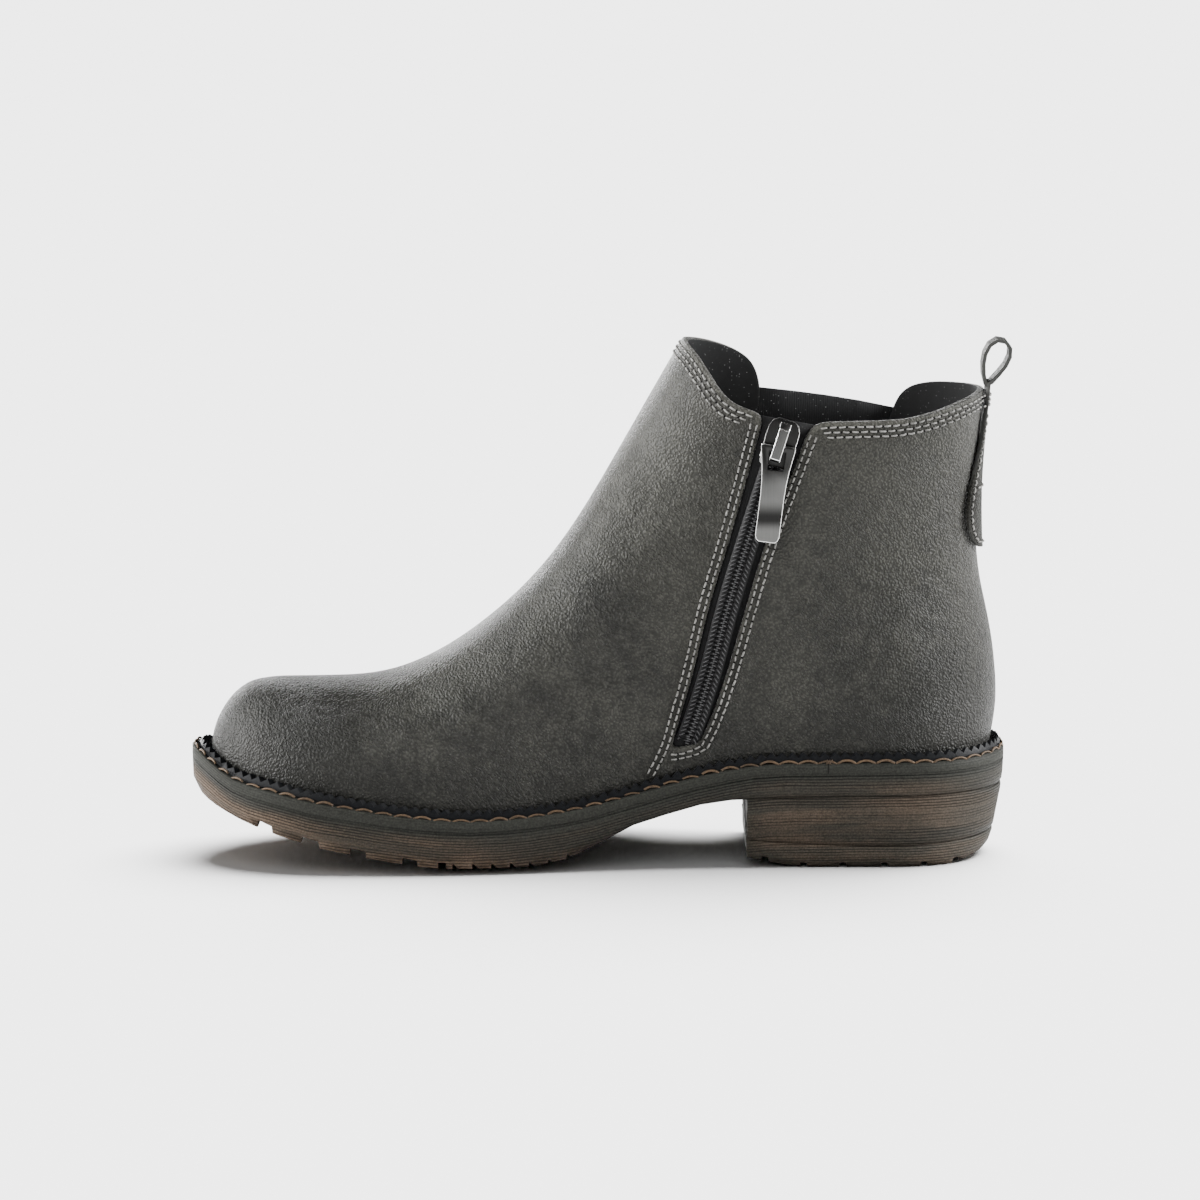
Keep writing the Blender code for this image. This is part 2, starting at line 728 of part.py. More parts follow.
def evened(grid, side):
    """Side-view grid whose places over the vamp are drawn apart on the wall; its border is kept."""
    grid = grid.copy()
    for _ in range(EVEN_ROUNDS):
        y = wall_y(grid[..., 0], grid[..., 1], side)
        y[:, 0] = centre_y(grid[:, 0, 0], grid[:, 0, 1])
        points = np.stack([grid[..., 0], y, grid[..., 1]], axis=-1)
        mean = (points[:-2, 1:-1] + points[2:, 1:-1] + points[1:-1, :-2] + points[1:-1, 2:]) / 4
        x, y, z = mean[..., 0], mean[..., 1], mean[..., 2]
        fall = half_width(x, z - 0.5, side) - half_width(x, z + 0.5, side)
        level = ((z > feather(x) + 16.0) & (fall > 1.0)) | (z > crown(x) - 1.0)
        z = np.where(level, height_at(x, z, np.abs(y - centre_y(x, z)), side), z)
        share = ease(x, -126.0, -104.0) * (1 - ease(x, -62.0, -30.0))
        grid[1:-1, 1:-1] += share[..., None] * (np.stack([x, z], axis=-1) - grid[1:-1, 1:-1])
    return grid


def build_panel(name, grid, top, columns, side, lifts, colour):
    """Sheet that fills an opening of the upper, a gap inside its edges; grid is the opening from the side."""
    rows = []
    for row in range(len(grid)):
        edge = grid[row]
        if row == 0:
            edge = edge + (grid[1] - grid[0]) * 0.06
        if row == len(grid) - 1:
            drop = np.interp(edge[:, 0], *zip(*top)) - grid[-2][:, 1]
            share = drop / (edge[:, 1] - grid[-2][:, 1])
            edge = grid[-2] + (edge - grid[-2]) * share[:, None]
        line = []
        for i in range(columns + 1):
            x = edge[0, 0] + PANEL_GAP + (edge[-1, 0] - edge[0, 0] - 2 * PANEL_GAP) * i / columns
            z = np.interp(x, edge[:, 0], edge[:, 1])
            line.append((float(x), float(z)))
        rows.append(line)
    bm = bmesh.new()
    outer = [[on_wall(x, z, side, lifts[1]) for x, z in line] for line in rows]
    inner = [[on_wall(x, z, side, lifts[0]) for x, z in line] for line in rows]
    slab(bm, outer, inner)
    return add_object(name, bm, colour, 0.9)


def build_coil(left, right):
    """Closed chain along the middle of the slot."""
    rows = []
    for row in range(SLOT_ROW, len(left)):
        middle = (left[row] + right[row]) / 2
        if row == SLOT_ROW:
            middle = middle + ((left[row + 1] + right[row + 1]) / 2 - middle) * 0.45
        if row == len(left) - 1:
            middle = middle + ((left[row - 1] + right[row - 1]) / 2 - middle) * 0.12
        rows.append(middle)
    bm = bmesh.new()
    half_x = COIL_HALF / math.cos(math.radians(17.0))
    offsets = (-half_x, 0.0, half_x)
    outer = []
    inner = []
    for x, z in rows:
        outer.append([on_wall(x + d, z - d * 0.3, MEDIAL, COIL_TOP) for d in offsets])
        inner.append([on_wall(x + d, z - d * 0.3, MEDIAL, COIL_BASE) for d in offsets])
    slab(bm, outer, inner)
    return add_object("zip_coil", bm, (0.02, 0.02, 0.02), 0.5)


def box(bm, low, high):
    cube = bmesh.ops.create_cube(bm, size=1.0)
    size = [high[i] - low[i] for i in range(3)]
    middle = [(high[i] + low[i]) / 2 for i in range(3)]
    bmesh.ops.scale(bm, vec=Vector(size) * MM, verts=cube["verts"])
    bmesh.ops.translate(bm, vec=Vector(middle) * MM, verts=cube["verts"])


def zip_frames(left, right):
    """Empties at the slider: one in line with the zip, one hanging with the pull tab."""
    z = PIVOT_HEIGHT
    x = float(np.interp(z, (left[:, 1] + right[:, 1]) / 2, (left[:, 0] + right[:, 0]) / 2))
    normal = wall_normal(x, z, MEDIAL)
    base = on_wall(x, z, MEDIAL, 0.0)
    high = (left[-1] + right[-1]) / 2
    low = (left[-6] + right[-6]) / 2
    foot = on_wall(float(low[0]), float(low[1]), MEDIAL, 0.0)
    down = foot - on_wall(float(high[0]), float(high[1]), MEDIAL, 0.0)
    down = down - normal * down.dot(normal)
    down.normalize()
    across = normal.cross(down)
    zip_frame = bpy.data.objects.new("zip_frame", None)
    zip_frame.matrix_world = axes(down, across, normal, base)
    tilt = math.radians(TAB_TILT)
    hang = Vector((-math.sin(tilt), 0.0, -math.cos(tilt)))
    face = normal - hang * normal.dot(hang)
    face.normalize()
    tab_frame = bpy.data.objects.new("tab_frame", None)
    tab_frame.matrix_world = axes(hang, face.cross(hang), face, base + normal * PIVOT_LIFT)
    for empty in (zip_frame, tab_frame):
        bpy.context.scene.collection.objects.link(empty)
    return zip_frame, tab_frame


def axes(first, second, third, origin):
    matrix = Matrix((first, second, third)).transposed().to_4x4()
    matrix.translation = origin * MM
    return matrix


def build_slider(zip_frame):
    """Slider body with side flanges over the chain and a bridge for the pull tab."""
    bm = bmesh.new()
    plan = [(-9.6, 2.6), (-8.6, 4.3), (-6.6, 5.2), (-3.0, SLIDER_HALF), (2.0, 5.0), (5.4, 4.7), (6.4, 4.2)]
    ring = [(u, v) for u, v in plan] + [(u, -v) for u, v in plan[::-1]]
    levels = [place(bm, [(u, v, n) for u, v in ring]) for n in (COIL_TOP + GAP, SLIDER_TOP)]
    bm.faces.new(levels[0][::-1])
    bm.faces.new(levels[1])
    skin(bm, levels)
    body = add_object("zip_slider", bm, (0.16, 0.16, 0.155), 0.35, 1.0)
    body.parent = zip_frame
    bm = bmesh.new()
    for side in (-1, 1):
        edges = sorted((side * (COIL_HALF + 0.75), side * (SLIDER_HALF - 0.3)))
        box(bm, (-6.0, edges[0], COIL_BASE + 0.1), (4.5, edges[1], SLIDER_TOP - 0.4))
    flanges = add_object("slider_flanges", bm, (0.16, 0.16, 0.155), 0.35, 1.0)
    flanges.parent = zip_frame
    bm = bmesh.new()
    clear = PIVOT_LIFT + BRIDGE_CLEAR
    high = clear + BRIDGE_THICK
    rest = SLIDER_TOP - 0.3
    side_view = [(-8.3, rest), (-8.0, clear), (-6.9, high),
                 (3.4, high), (4.3, clear), (4.5, rest),
                 (3.3, rest), (3.1, clear - 0.5), (2.6, clear),
                 (-6.2, clear), (-6.7, clear - 0.5), (-7.0, rest)]
    near = place(bm, [(u, -BRIDGE_HALF, n) for u, n in side_view])
    far = place(bm, [(u, BRIDGE_HALF, n) for u, n in side_view])
    bm.faces.new(near)
    bm.faces.new(far[::-1])
    skin(bm, [near, far])
    bridge = add_object("slider_bridge", bm, (0.16, 0.16, 0.155), 0.35, 1.0)
    bridge.parent = zip_frame
    boolean(body, flanges, "UNION")
    boolean(body, bridge, "UNION")


def build_pull_tab(tab_frame):
    """Plate with a window, hung so that its top bar lies on the pivot."""
    bm = bmesh.new()
    ring = [(row.z, row.half) for row in TAB_PLATE] + [(row.z, -row.half) for row in TAB_PLATE[::-1]]
    levels = [place(bm, [(u, v, n) for u, v in ring]) for n in (-TAB_THICK / 2, TAB_THICK / 2)]
    bm.faces.new(levels[0][::-1])
    bm.faces.new(levels[1])
    skin(bm, levels)
    tab = add_object("zip_pull_tab", bm, (0.2, 0.2, 0.195), 0.3, 1.0)
    tab.parent = tab_frame
    bm = bmesh.new()
    top, bottom, reach = TAB_WINDOW
    box(bm, (top, -reach, -3.0), (bottom, reach, 3.0))
    window = add_object("tab_window", bm, (0.2, 0.2, 0.195))
    window.parent = tab_frame
    boolean(tab, window, "DIFFERENCE")


def build_pull_loop():
    """Teardrop tab along the back, joined to a loop of strap above the collar."""
    heights = [row.z for row in TAB_BACK]
    columns = [-1.0, -0.66, -0.33, 0.0, 0.33, 0.66, 1.0]
    bm = bmesh.new()
    outer = []
    inner = []
    for z in heights:
        reach = float(table(TAB_BACK, "z", "half", z))
        outer.append([on_back(v * reach, z, GAP + STRAP_THICK) for v in columns])
        inner.append([on_back(v * reach, z, GAP) for v in columns])
    flat = [(float(back_x(heights[-1])) + GAP, 158.2)]
    for x, z in flat:
        outer.append([Vector((x + STRAP_THICK + 0.1, v * STRAP_HALF, z)) for v in columns])
        inner.append([Vector((x + 0.1, v * STRAP_HALF, z)) for v in columns])
    slab(bm, outer, inner)
    tab = add_object("pull_loop", bm, (0.11, 0.11, 0.1), 0.6)
    bm = bmesh.new()
    count = len(LOOP)
    rings = []
    for i in range(count):
        before = Vector(LOOP[i - 1])
        after = Vector(LOOP[(i + 1) % count])
        across = Vector((after.y - before.y, before.x - after.x)).normalized() * STRAP_THICK / 2
        centre = Vector(LOOP[i])
        corners = (centre + across, centre - across)
        ring = [(corners[0].x, -STRAP_HALF, corners[0].y), (corners[0].x, STRAP_HALF, corners[0].y),
                (corners[1].x, STRAP_HALF, corners[1].y), (corners[1].x, -STRAP_HALF, corners[1].y)]
        rings.append(place(bm, ring))
    skin(bm, rings + rings[:1])
    loop = add_object("loop_strap", bm, (0.11, 0.11, 0.1))
    boolean(tab, loop, "UNION")


def build_sole():
    def outsole_under(x):
        return table(UNDER, "x", "z", x)

    def lift_top(x):
        return table(LIFT_TOP, "x", "z", x)

    def keep_edge(x):
        return 1 - 0.92 * ease(x, -4.0, 40.0)

    brown = (0.045, 0.038, 0.03)
    outsole = loft_sole("outsole", OUTSOLE_EDGE, outsole_top, outsole_under, brown, keep_edge)
    bm = bmesh.new()
    for notch in LUG_NOTCHES:
        prism(bm, notch_polygon(notch.x, notch.width, LUG_DEPTH, under_z), -70.0, 70.0)
    for tip, following in zip(SAW_TIPS, SAW_TIPS[1:]):
        polygon = [
            (tip + 0.2, under_z(tip) - 2.0),
            (following - 1.0, under_z(following) - 2.0),
            (following - 1.0, under_z(following - 1.0) + 0.1),
            (tip + 0.9, under_z(tip) + SAW_DEPTH),
        ]
        middle = (tip + following) / 2
        for side in (MEDIAL, LATERAL):
            rim = float(spine(middle) + side * (half(middle, side) + margin(middle)))
            low, high = sorted((rim - side * SAW_REACH, rim + side * 6.0))
            prism(bm, polygon, low, high)
    for notch in BAR_GROOVES:
        centre = float(spine(notch.x)) + 3.0
        groove = notch_polygon(notch.x, notch.width, BAR_DEPTH, under_z)
        prism(bm, groove, centre - BAR_HALF, centre + BAR_HALF)
    boolean(outsole, add_object("tread_cutter", bm, (0.5, 0.5, 0.5)), "DIFFERENCE")

    loft_heel("heel_block", BLOCK_EDGE, lambda x: outsole_under(x) - GAP, lift_top, (0.05, 0.04, 0.03))
    lift = loft_heel("heel_top_lift", LIFT_EDGE, lambda x: lift_top(x) - GAP,
                     lambda x: table(LIFT_UNDER, "x", "z", x), (0.03, 0.028, 0.025))
    bm = bmesh.new()
    for notch in HEEL_NOTCHES:
        polygon = notch_polygon(notch.x, notch.width, HEEL_NOTCH_DEPTH, lift_under_z)
        for side in (MEDIAL, LATERAL):
            rim = float(side * (half(notch.x, side) + margin(notch.x)))
            rim = rim * float(round_end(SOLE_HEEL_X - 6.2 - notch.x, HEEL_DEPTH))
            low, high = sorted((rim - side * 13.0, rim + side * 8.0))
            prism(bm, polygon, low, high)
    boolean(lift, add_object("lift_cutter", bm, (0.5, 0.5, 0.5)), "DIFFERENCE")

    welt = (
        (0.0, 0.35, -WELT_THICK),
        (0.5, 0.0, -WELT_THICK),
        (1.0, -0.5, -WELT_THICK),
        (1.0, 0.0, 0.6 - WELT_THICK),
        (1.0, 0.0, -0.7),
        (1.0, -0.7, 0.0),
        (0.5, 0.0, 0.0),
        (0.0, 0.35, 0.0),
    )
    loft_band("welt", welt, (0.028, 0.028, 0.024))
    bead = ((0.0, GAP, GAP), (0.5, 0.3, GAP), (0.46, 0.3, 1.3),
            (0.22, 0.4, BEAD_HEIGHT), (0.0, GAP, BEAD_HEIGHT))
    loft_band("welt_bead", bead, (0.015, 0.015, 0.014))

    bm = bmesh.new()
    rings = []
    insole_top = GAP + INSOLE_THICK
    for inset, rise in ((6.0, GAP), (5.4, GAP + 0.8), (5.4, insole_top - 0.8), (6.2, insole_top)):
        level = Edge(0.0, inset, inset, inset)
        rings.append(place(bm, [(x, y, float(outsole_top(x)) + rise) for x, y in outline(level, 0.0)]))
    skin(bm, rings)
    cap_across(bm, rings[0])
    cap_across(bm, rings[-1])
    add_object("insole", bm, (0.02, 0.02, 0.02), 0.9)


def centre_on_floor():
    """Moves every piece so that the origin is under the middle of the whole shoe."""
    bpy.context.view_layer.update()
    graph = bpy.context.evaluated_depsgraph_get()
    corners = []
    for obj in bpy.data.objects:
        if obj.type == "MESH" and not obj.hide_render:
            shape = obj.evaluated_get(graph)
            corners += [shape.matrix_world @ vertex.co for vertex in shape.data.vertices]
    low = [min(corner[i] for corner in corners) for i in range(3)]
    high = [max(corner[i] for corner in corners) for i in range(3)]
    shift = Vector((-(low[0] + high[0]) / 2, -(low[1] + high[1]) / 2, -low[2]))
    for obj in bpy.data.objects:
        if obj.parent is None:
            obj.matrix_world = Matrix.Translation(shift) @ obj.matrix_world


def main():
    clear_scene()
    build_sole()
    zip_front, zip_back, slot_grid, gore_grid = build_upper()
    build_panel("gore", gore_grid, GORE_TOP, GORE_COLUMNS, LATERAL, (-2.1, -0.5), (0.03, 0.03, 0.03))
    tape_top = ((zip_front[-1][0], zip_front[-1][1] - 0.5), (zip_back[-1][0], zip_back[-1][1] - 0.5))
    tape_lifts = (-TAPE_RECESS - TAPE_THICK, -TAPE_RECESS)
    build_panel("zip_tape", slot_grid, tape_top, SLOT_COLUMNS, MEDIAL, tape_lifts, (0.012, 0.012, 0.012))
    build_coil(zip_front, zip_back)
    zip_frame, tab_frame = zip_frames(zip_front, zip_back)
    build_slider(zip_frame)
    build_pull_tab(tab_frame)
    build_pull_loop()
    centre_on_floor()


main()
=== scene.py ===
"""Looks of a right-foot ankle bootie: grey leather, welted rubber sole, side zip, gore and heel loop."""

import json
import math
import random
from collections import namedtuple

import bmesh
import bpy
import numpy as np
from bpy.props import FloatProperty, FloatVectorProperty, IntProperty, PointerProperty
from mathutils import Matrix, Vector
from mathutils.bvhtree import BVHTree
from mathutils.kdtree import KDTree


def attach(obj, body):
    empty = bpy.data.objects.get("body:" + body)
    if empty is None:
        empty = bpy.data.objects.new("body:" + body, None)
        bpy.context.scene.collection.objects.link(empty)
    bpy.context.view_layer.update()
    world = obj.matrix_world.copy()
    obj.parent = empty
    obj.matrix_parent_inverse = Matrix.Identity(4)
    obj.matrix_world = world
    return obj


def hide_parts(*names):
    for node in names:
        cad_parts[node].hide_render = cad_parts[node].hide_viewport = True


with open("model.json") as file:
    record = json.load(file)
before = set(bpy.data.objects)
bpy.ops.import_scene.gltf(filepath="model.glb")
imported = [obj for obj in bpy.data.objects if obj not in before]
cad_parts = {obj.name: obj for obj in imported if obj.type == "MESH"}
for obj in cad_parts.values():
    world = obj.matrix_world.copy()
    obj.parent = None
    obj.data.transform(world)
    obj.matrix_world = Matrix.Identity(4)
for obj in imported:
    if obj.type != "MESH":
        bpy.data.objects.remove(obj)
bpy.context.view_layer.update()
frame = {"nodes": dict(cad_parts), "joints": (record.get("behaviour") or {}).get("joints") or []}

bl_info = {
    "name": "Ankle Bootie",
    "version": (1, 0, 0),
    "blender": (4, 5, 0),
    "location": "View3D > Sidebar > Bootie",
    "description": "Dresses the packed bootie with leather, thread, rubber, elastic and metal",
    "category": "Object",
}

MM = 0.001
MEDIAL = -1
LATERAL = 1

# The tables below are in millimetres, in the pattern's own frame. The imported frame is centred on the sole.
SOLE_TOE_X = -136.4
SOLE_HEEL_X = 134.2
TOE_X = -130.6
HEEL_X = 130.9
TOE_DEPTH = 46.0
HEEL_DEPTH = 34.0
CENTRING = Vector((0.463, -1.684, 0.0))

# Top of the welt along the shoe
Seat = namedtuple("Seat", "x z")
SEAT = (
    Seat(-136.4, 38.2), Seat(-133.5, 37.0), Seat(-130.5, 35.3), Seat(-126.0, 32.4), Seat(-119.5, 29.4),
    Seat(-111.0, 27.7), Seat(-98.0, 24.9), Seat(-83.0, 22.3), Seat(-64.0, 19.5), Seat(-42.0, 17.8),
    Seat(-21.0, 19.1), Seat(-5.5, 21.5), Seat(10.0, 25.4), Seat(25.0, 29.5), Seat(40.0, 32.9),
    Seat(58.0, 35.1), Seat(90.0, 35.3), Seat(118.0, 35.5), Seat(134.2, 36.5),
)

# Half-widths of the upper's widest line, and how far the sole stands out beyond it
Station = namedtuple("Station", "x medial lateral margin")
LAST = (
    Station(-131.0, 33.0, 34.0, 5.8),
    Station(-100.0, 34.5, 37.5, 5.4),
    Station(-81.0, 35.8, 42.6, 5.0),
    Station(-60.0, 37.4, 47.6, 4.8),
    Station(-40.0, 37.0, 49.8, 4.8),
    Station(-10.0, 34.4, 45.2, 4.6),
    Station(15.0, 32.8, 38.0, 4.3),
    Station(40.0, 31.2, 33.0, 3.9),
    Station(75.0, 30.2, 30.8, 3.4),
    Station(134.0, 30.0, 30.2, 3.3),
)

# Edges of the zip slot and of the gore, seen from the side, from the foot up
ZIP_FRONT = ((22.5, 39.5), (25.8, 50.3), (29.8, 64.3), (35.2, 86.8), (41.8, 109.0), (52.8, 150.2))
ZIP_BACK = (
    (31.5, 41.1), (35.2, 48.6), (40.8, 64.3), (46.8, 85.2), (53.2, 106.9), (62.5, 132.6), (68.2, 148.0),
)
GORE_FRONT = ((41.5, 60.0), (45.0, 85.0), (49.0, 118.0), (53.1, 151.3))
GORE_BACK = ((75.5, 60.0), (81.0, 90.0), (90.0, 122.0), (98.8, 147.2))
GORE_HEM = ((41.0, 57.6), (58.0, 57.0), (75.8, 57.6))

# Where the rows in front of the slot go under the bead, and the two rows below the slot
UNDER_BEAD = (17.8, 30.0)
SLOT_FOOT = (
    ((22.3, 37.9), (26.3, 38.3), (30.0, 39.5), (32.9, 41.0)),
    ((22.5, 36.2), (27.0, 36.9), (30.8, 37.9), (34.4, 40.1)),
)

# Named corners of the top edge of the leather: place along the shoe, side and height
Corner = namedtuple("Corner", "x side z")
PEAK = Corner(26.5, 0, 172.5)
SLOT_FRONT_TOP = Corner(52.8, MEDIAL, 150.2)
SLOT_BACK_TOP = Corner(68.2, MEDIAL, 148.0)
GORE_FRONT_TOP = Corner(53.1, LATERAL, 151.3)
GORE_BACK_TOP = Corner(98.8, LATERAL, 147.2)
HEEL_TOP = Corner(127.2, 0, 155.8)
CORNER_Y = 33.0

# Distance of the first stitch row from the collar, and from the zip and the gore
COLLAR_INSET = 1.8
SLOT_INSET = 1.3

# Teardrop tab on the heel: half-width by height, its sewing, its upper end and the foot of the loop
Tab = namedtuple("Tab", "z half")
HEEL_TAB = (
    Tab(102.8, 2.6), Tab(103.6, 6.4), Tab(105.2, 9.3), Tab(107.6, 11.4), Tab(111.0, 12.9), Tab(115.7, 13.4),
    Tab(123.0, 12.4), Tab(130.8, 10.4), Tab(138.0, 8.2), Tab(145.0, 6.2), Tab(151.0, 5.2),
)
TAB_ROW_INSET = 1.1
TAB_CROSS_ROW = 123.5
TAB_CROSS_HALF = 9.5
TAB_TOP = 150.0
LOOP_FOOT = 157.0

# Hinge of the pull tab, in metres from the frame, and the window in the tab's plate
HINGE = Vector(frame["joints"][0]["pos_m"])
HINGE_AXIS = Vector(frame["joints"][0]["axis"])
WINDOW_REACH = 7.8
WINDOW_HALF = 3.3

# Where the ends of the welt strip meet, on the inner side
JOINT_X = 74.9

# Soft creases of the leather: side, side-view points, depth and half-width
Crease = namedtuple("Crease", "side points depth width")
CREASES = (
    Crease(MEDIAL, ((96.0, 96.0), (106.0, 88.0), (114.0, 78.0)), 0.22, 2.2),
    Crease(MEDIAL, ((101.0, 101.0), (112.0, 93.0), (120.0, 83.0)), 0.20, 2.0),
    Crease(MEDIAL, ((92.0, 86.0), (102.0, 79.0), (112.0, 70.0)), 0.16, 2.4),
    Crease(MEDIAL, ((-116.0, 50.0), (-114.5, 42.0), (-113.0, 34.0)), 0.16, 1.8),
    Crease(MEDIAL, ((-110.0, 50.0), (-108.5, 42.0), (-107.5, 33.0)), 0.14, 1.8),
    Crease(MEDIAL, ((-66.0, 59.0), (-56.0, 52.0), (-44.0, 42.0)), 0.35, 5.0),
    Crease(MEDIAL, ((-48.0, 66.0), (-36.0, 58.0), (-22.0, 47.0)), 0.30, 5.0),
    Crease(MEDIAL, ((-22.0, 84.0), (-8.0, 76.0), (8.0, 72.0)), 0.35, 6.0),
    Crease(LATERAL, ((-70.0, 57.0), (-58.0, 50.0), (-46.0, 38.0)), 0.35, 5.0),
    Crease(LATERAL, ((-50.0, 64.0), (-38.0, 56.0), (-26.0, 44.0)), 0.30, 5.0),
    Crease(LATERAL, ((-22.0, 84.0), (-8.0, 77.0), (10.0, 74.0)), 0.35, 6.0),
    Crease(LATERAL, ((97.0, 98.0), (108.0, 90.0), (118.0, 79.0)), 0.22, 2.2),
)

# Tone of the leather: side-view place, radius and strength (dark below zero)
# Some patches are uneven colour of the leather, others are painted light and painted shade, such as the
# lighter front edge of the shaft
Patch = namedtuple("Patch", "x z radius strength")
PATCHES = (
    Patch(-110.0, 53.0, 20.0, -0.75),
    Patch(-96.0, 62.0, 22.0, -0.9),
    Patch(-62.0, 36.0, 34.0, -0.4),
    Patch(-22.0, 62.0, 12.0, -0.5),
    Patch(2.0, 86.0, 12.0, -0.5),
    Patch(2.0, 66.0, 24.0, -0.25),
    Patch(8.0, 112.0, 20.0, 0.6),
    Patch(20.0, 143.0, 18.0, 0.5),
    Patch(88.0, 126.0, 26.0, 0.05),
    Patch(70.0, 60.0, 26.0, -0.25),
    Patch(113.0, 55.0, 16.0, -1.0),
    Patch(-70.0, 58.0, 16.0, 0.15),
)

# Painted shade: the leather is darker just above the bead
LOW_SHADE = 0.75
LOW_REACH = 15.0

# Share of brown rubber along the sole side
Brown = namedtuple("Brown", "x share")
BROWN = (
    Brown(-137.0, 0.85), Brown(-90.0, 1.0), Brown(-50.0, 0.95), Brown(-20.0, 0.6), Brown(8.0, 0.25),
    Brown(44.0, 0.15), Brown(58.0, 0.52), Brown(80.0, 0.55), Brown(110.0, 0.46), Brown(122.0, 0.28),
    Brown(135.0, 0.14),
)

# How far a visual piece departs from its solid, so that joints close and edges look as in the photograph
GORE_RISE = 1.7
GORE_RUN_IN = 2.2
TAPE_RUN_IN = 1.6
STRIP_DROP = 0.55
STRIP_LOWER_EDGE = 2.6
GROOVE_CLOSING = 0.3

# Lines round the sole, as a share of the way from the upper's widest line to the sole's edge
BEAD_LINE = 0.3
WELT_LINE = 0.8

# Painted reflection on the pull tab: between two heights the brightness runs from one share to another
Band = namedtuple("Band", "low high at_low at_high")
TAB_PAINTED_REFLECTION = (
    Band(112.5, 116.5, 0.8, 0.13),
    Band(117.5, 123.5, 1.0, 6.9),
    Band(127.0, 134.0, 1.0, 0.3),
)

# Lamps: degrees round from the camera and up, strength, width in degrees, and whether for the floor alone
Lamp = namedtuple("Lamp", "name azimuth elevation energy width floor")
LAMPS = (
    Lamp("toe_side", 262.0, 18.0, 16.0, 36.0, False),
    Lamp("heel_side", 94.0, 25.0, 14.8, 36.0, False),
    Lamp("rim_light", 200.0, 12.0, 3.0, 20.0, False),
    Lamp("front_fill", 318.0, 40.0, 3.6, 22.0, False),
    Lamp("floor_top", 140.0, 64.0, 15.8, 60.0, True),
    Lamp("floor_front", 0.0, 35.0, 0.7, 60.0, True),
)


class BootieSizes(bpy.types.PropertyGroup):
    """Sizes of the sewn and moulded detail."""

    stitch_pitch: FloatProperty(name="Stitch pitch", description="Length of one upper stitch with its gap",
                                default=3.0 * MM, unit="LENGTH")
    slot_pitch: FloatProperty(name="Slot stitch pitch", description="Length of one stitch beside the zip",
                              default=2.5 * MM, unit="LENGTH")
    thread_width: FloatProperty(name="Thread", description="Thickness of the upper thread",
                                default=0.60 * MM, unit="LENGTH")
    row_gap: FloatProperty(name="Row gap", description="Distance between neighbouring stitch rows",
                           default=2.0 * MM, unit="LENGTH")
    welt_pitch: FloatProperty(name="Welt pitch", description="Length of one welt stitch",
                              default=6.4 * MM, unit="LENGTH")
    welt_thread: FloatProperty(name="Welt thread", description="Thickness of the welt thread",
                               default=0.74 * MM, unit="LENGTH")
    tooth_pitch: FloatProperty(name="Bead tooth", description="Distance between teeth of the welt bead",
                               default=3.47 * MM, unit="LENGTH")
    coil_pitch: FloatProperty(name="Coil pitch", description="Distance between turns of the zip coil",
                              default=1.5 * MM, unit="LENGTH")
    fold: FloatProperty(name="Fold", description="Rounding of the cut and folded leather edges",
                        default=0.6 * MM, unit="LENGTH")
    smoothness: IntProperty(name="Smoothness", description="Subdivision steps of the leather",
                            default=2, min=1, max=3)


class BootieColours(bpy.types.PropertyGroup):
    """Colours of the finishes, as linear values."""

    leather: FloatVectorProperty(name="Leather", description="Main tone of the leather", subtype="COLOR",
                                 default=(0.0238, 0.0235, 0.0200))
    # The dark and light tones also carry the painted shade and painted light of the upper's tone
    leather_dark: FloatVectorProperty(name="Leather dark", description="Dark smudges", subtype="COLOR",
                                      default=(0.0100, 0.0100, 0.0086))
    leather_light: FloatVectorProperty(name="Leather light", description="Rubbed places", subtype="COLOR",
                                       default=(0.042, 0.0414, 0.0358))
    thread: FloatVectorProperty(name="Thread", description="Thread of the upper", subtype="COLOR",
                                default=(0.160, 0.157, 0.148))
    welt_thread: FloatVectorProperty(name="Welt thread", description="Thread of the welt", subtype="COLOR",
                                     default=(0.054, 0.0335, 0.0180))
    lining: FloatVectorProperty(name="Lining", description="Cloth inside", subtype="COLOR",
                                default=(0.0060, 0.0062, 0.0064))
    elastic: FloatVectorProperty(name="Elastic", description="Side gore", subtype="COLOR",
                                 default=(0.0080, 0.0082, 0.0086))
    black: FloatVectorProperty(name="Black", description="Zip, bead and edge paint", subtype="COLOR",
                               default=(0.005, 0.005, 0.0052))
    sole_grey: FloatVectorProperty(name="Sole grey", description="Upper part of the sole side",
                                   subtype="COLOR", default=(0.0135, 0.0138, 0.0118))
    sole_brown: FloatVectorProperty(name="Sole brown", description="Lower part of the sole side",
                                    subtype="COLOR", default=(0.057, 0.0405, 0.0288))
    metal: FloatVectorProperty(name="Metal", description="Dark nickel of slider and tab", subtype="COLOR",
                               default=(0.089, 0.089, 0.0865))
    polished: FloatVectorProperty(name="Polished", description="Bright rims of slider and tab",
                                  subtype="COLOR", default=(0.78, 0.78, 0.76))


class BootieStage(bpy.types.PropertyGroup):
    """Camera, floor and light."""

    elevation: FloatProperty(name="Elevation", description="Angle of the camera above the floor",
                             default=math.radians(8.5), subtype="ANGLE")
    distance: FloatProperty(name="Distance", description="Camera to shoe", default=2.0, unit="LENGTH")
    lens: FloatProperty(name="Lens", description="Focal length in millimetres", default=180.0)
    aim_height: FloatProperty(name="Aim height", description="Height that the camera looks at",
                              default=0.0843, unit="LENGTH")
    floor: FloatVectorProperty(name="Floor", description="Pale floor", subtype="COLOR",
                               default=(0.9, 0.9, 0.9))
    sky: FloatProperty(name="Sky", description="Strength of the studio's even light", default=1.0)


# Curves and the pattern of the sole


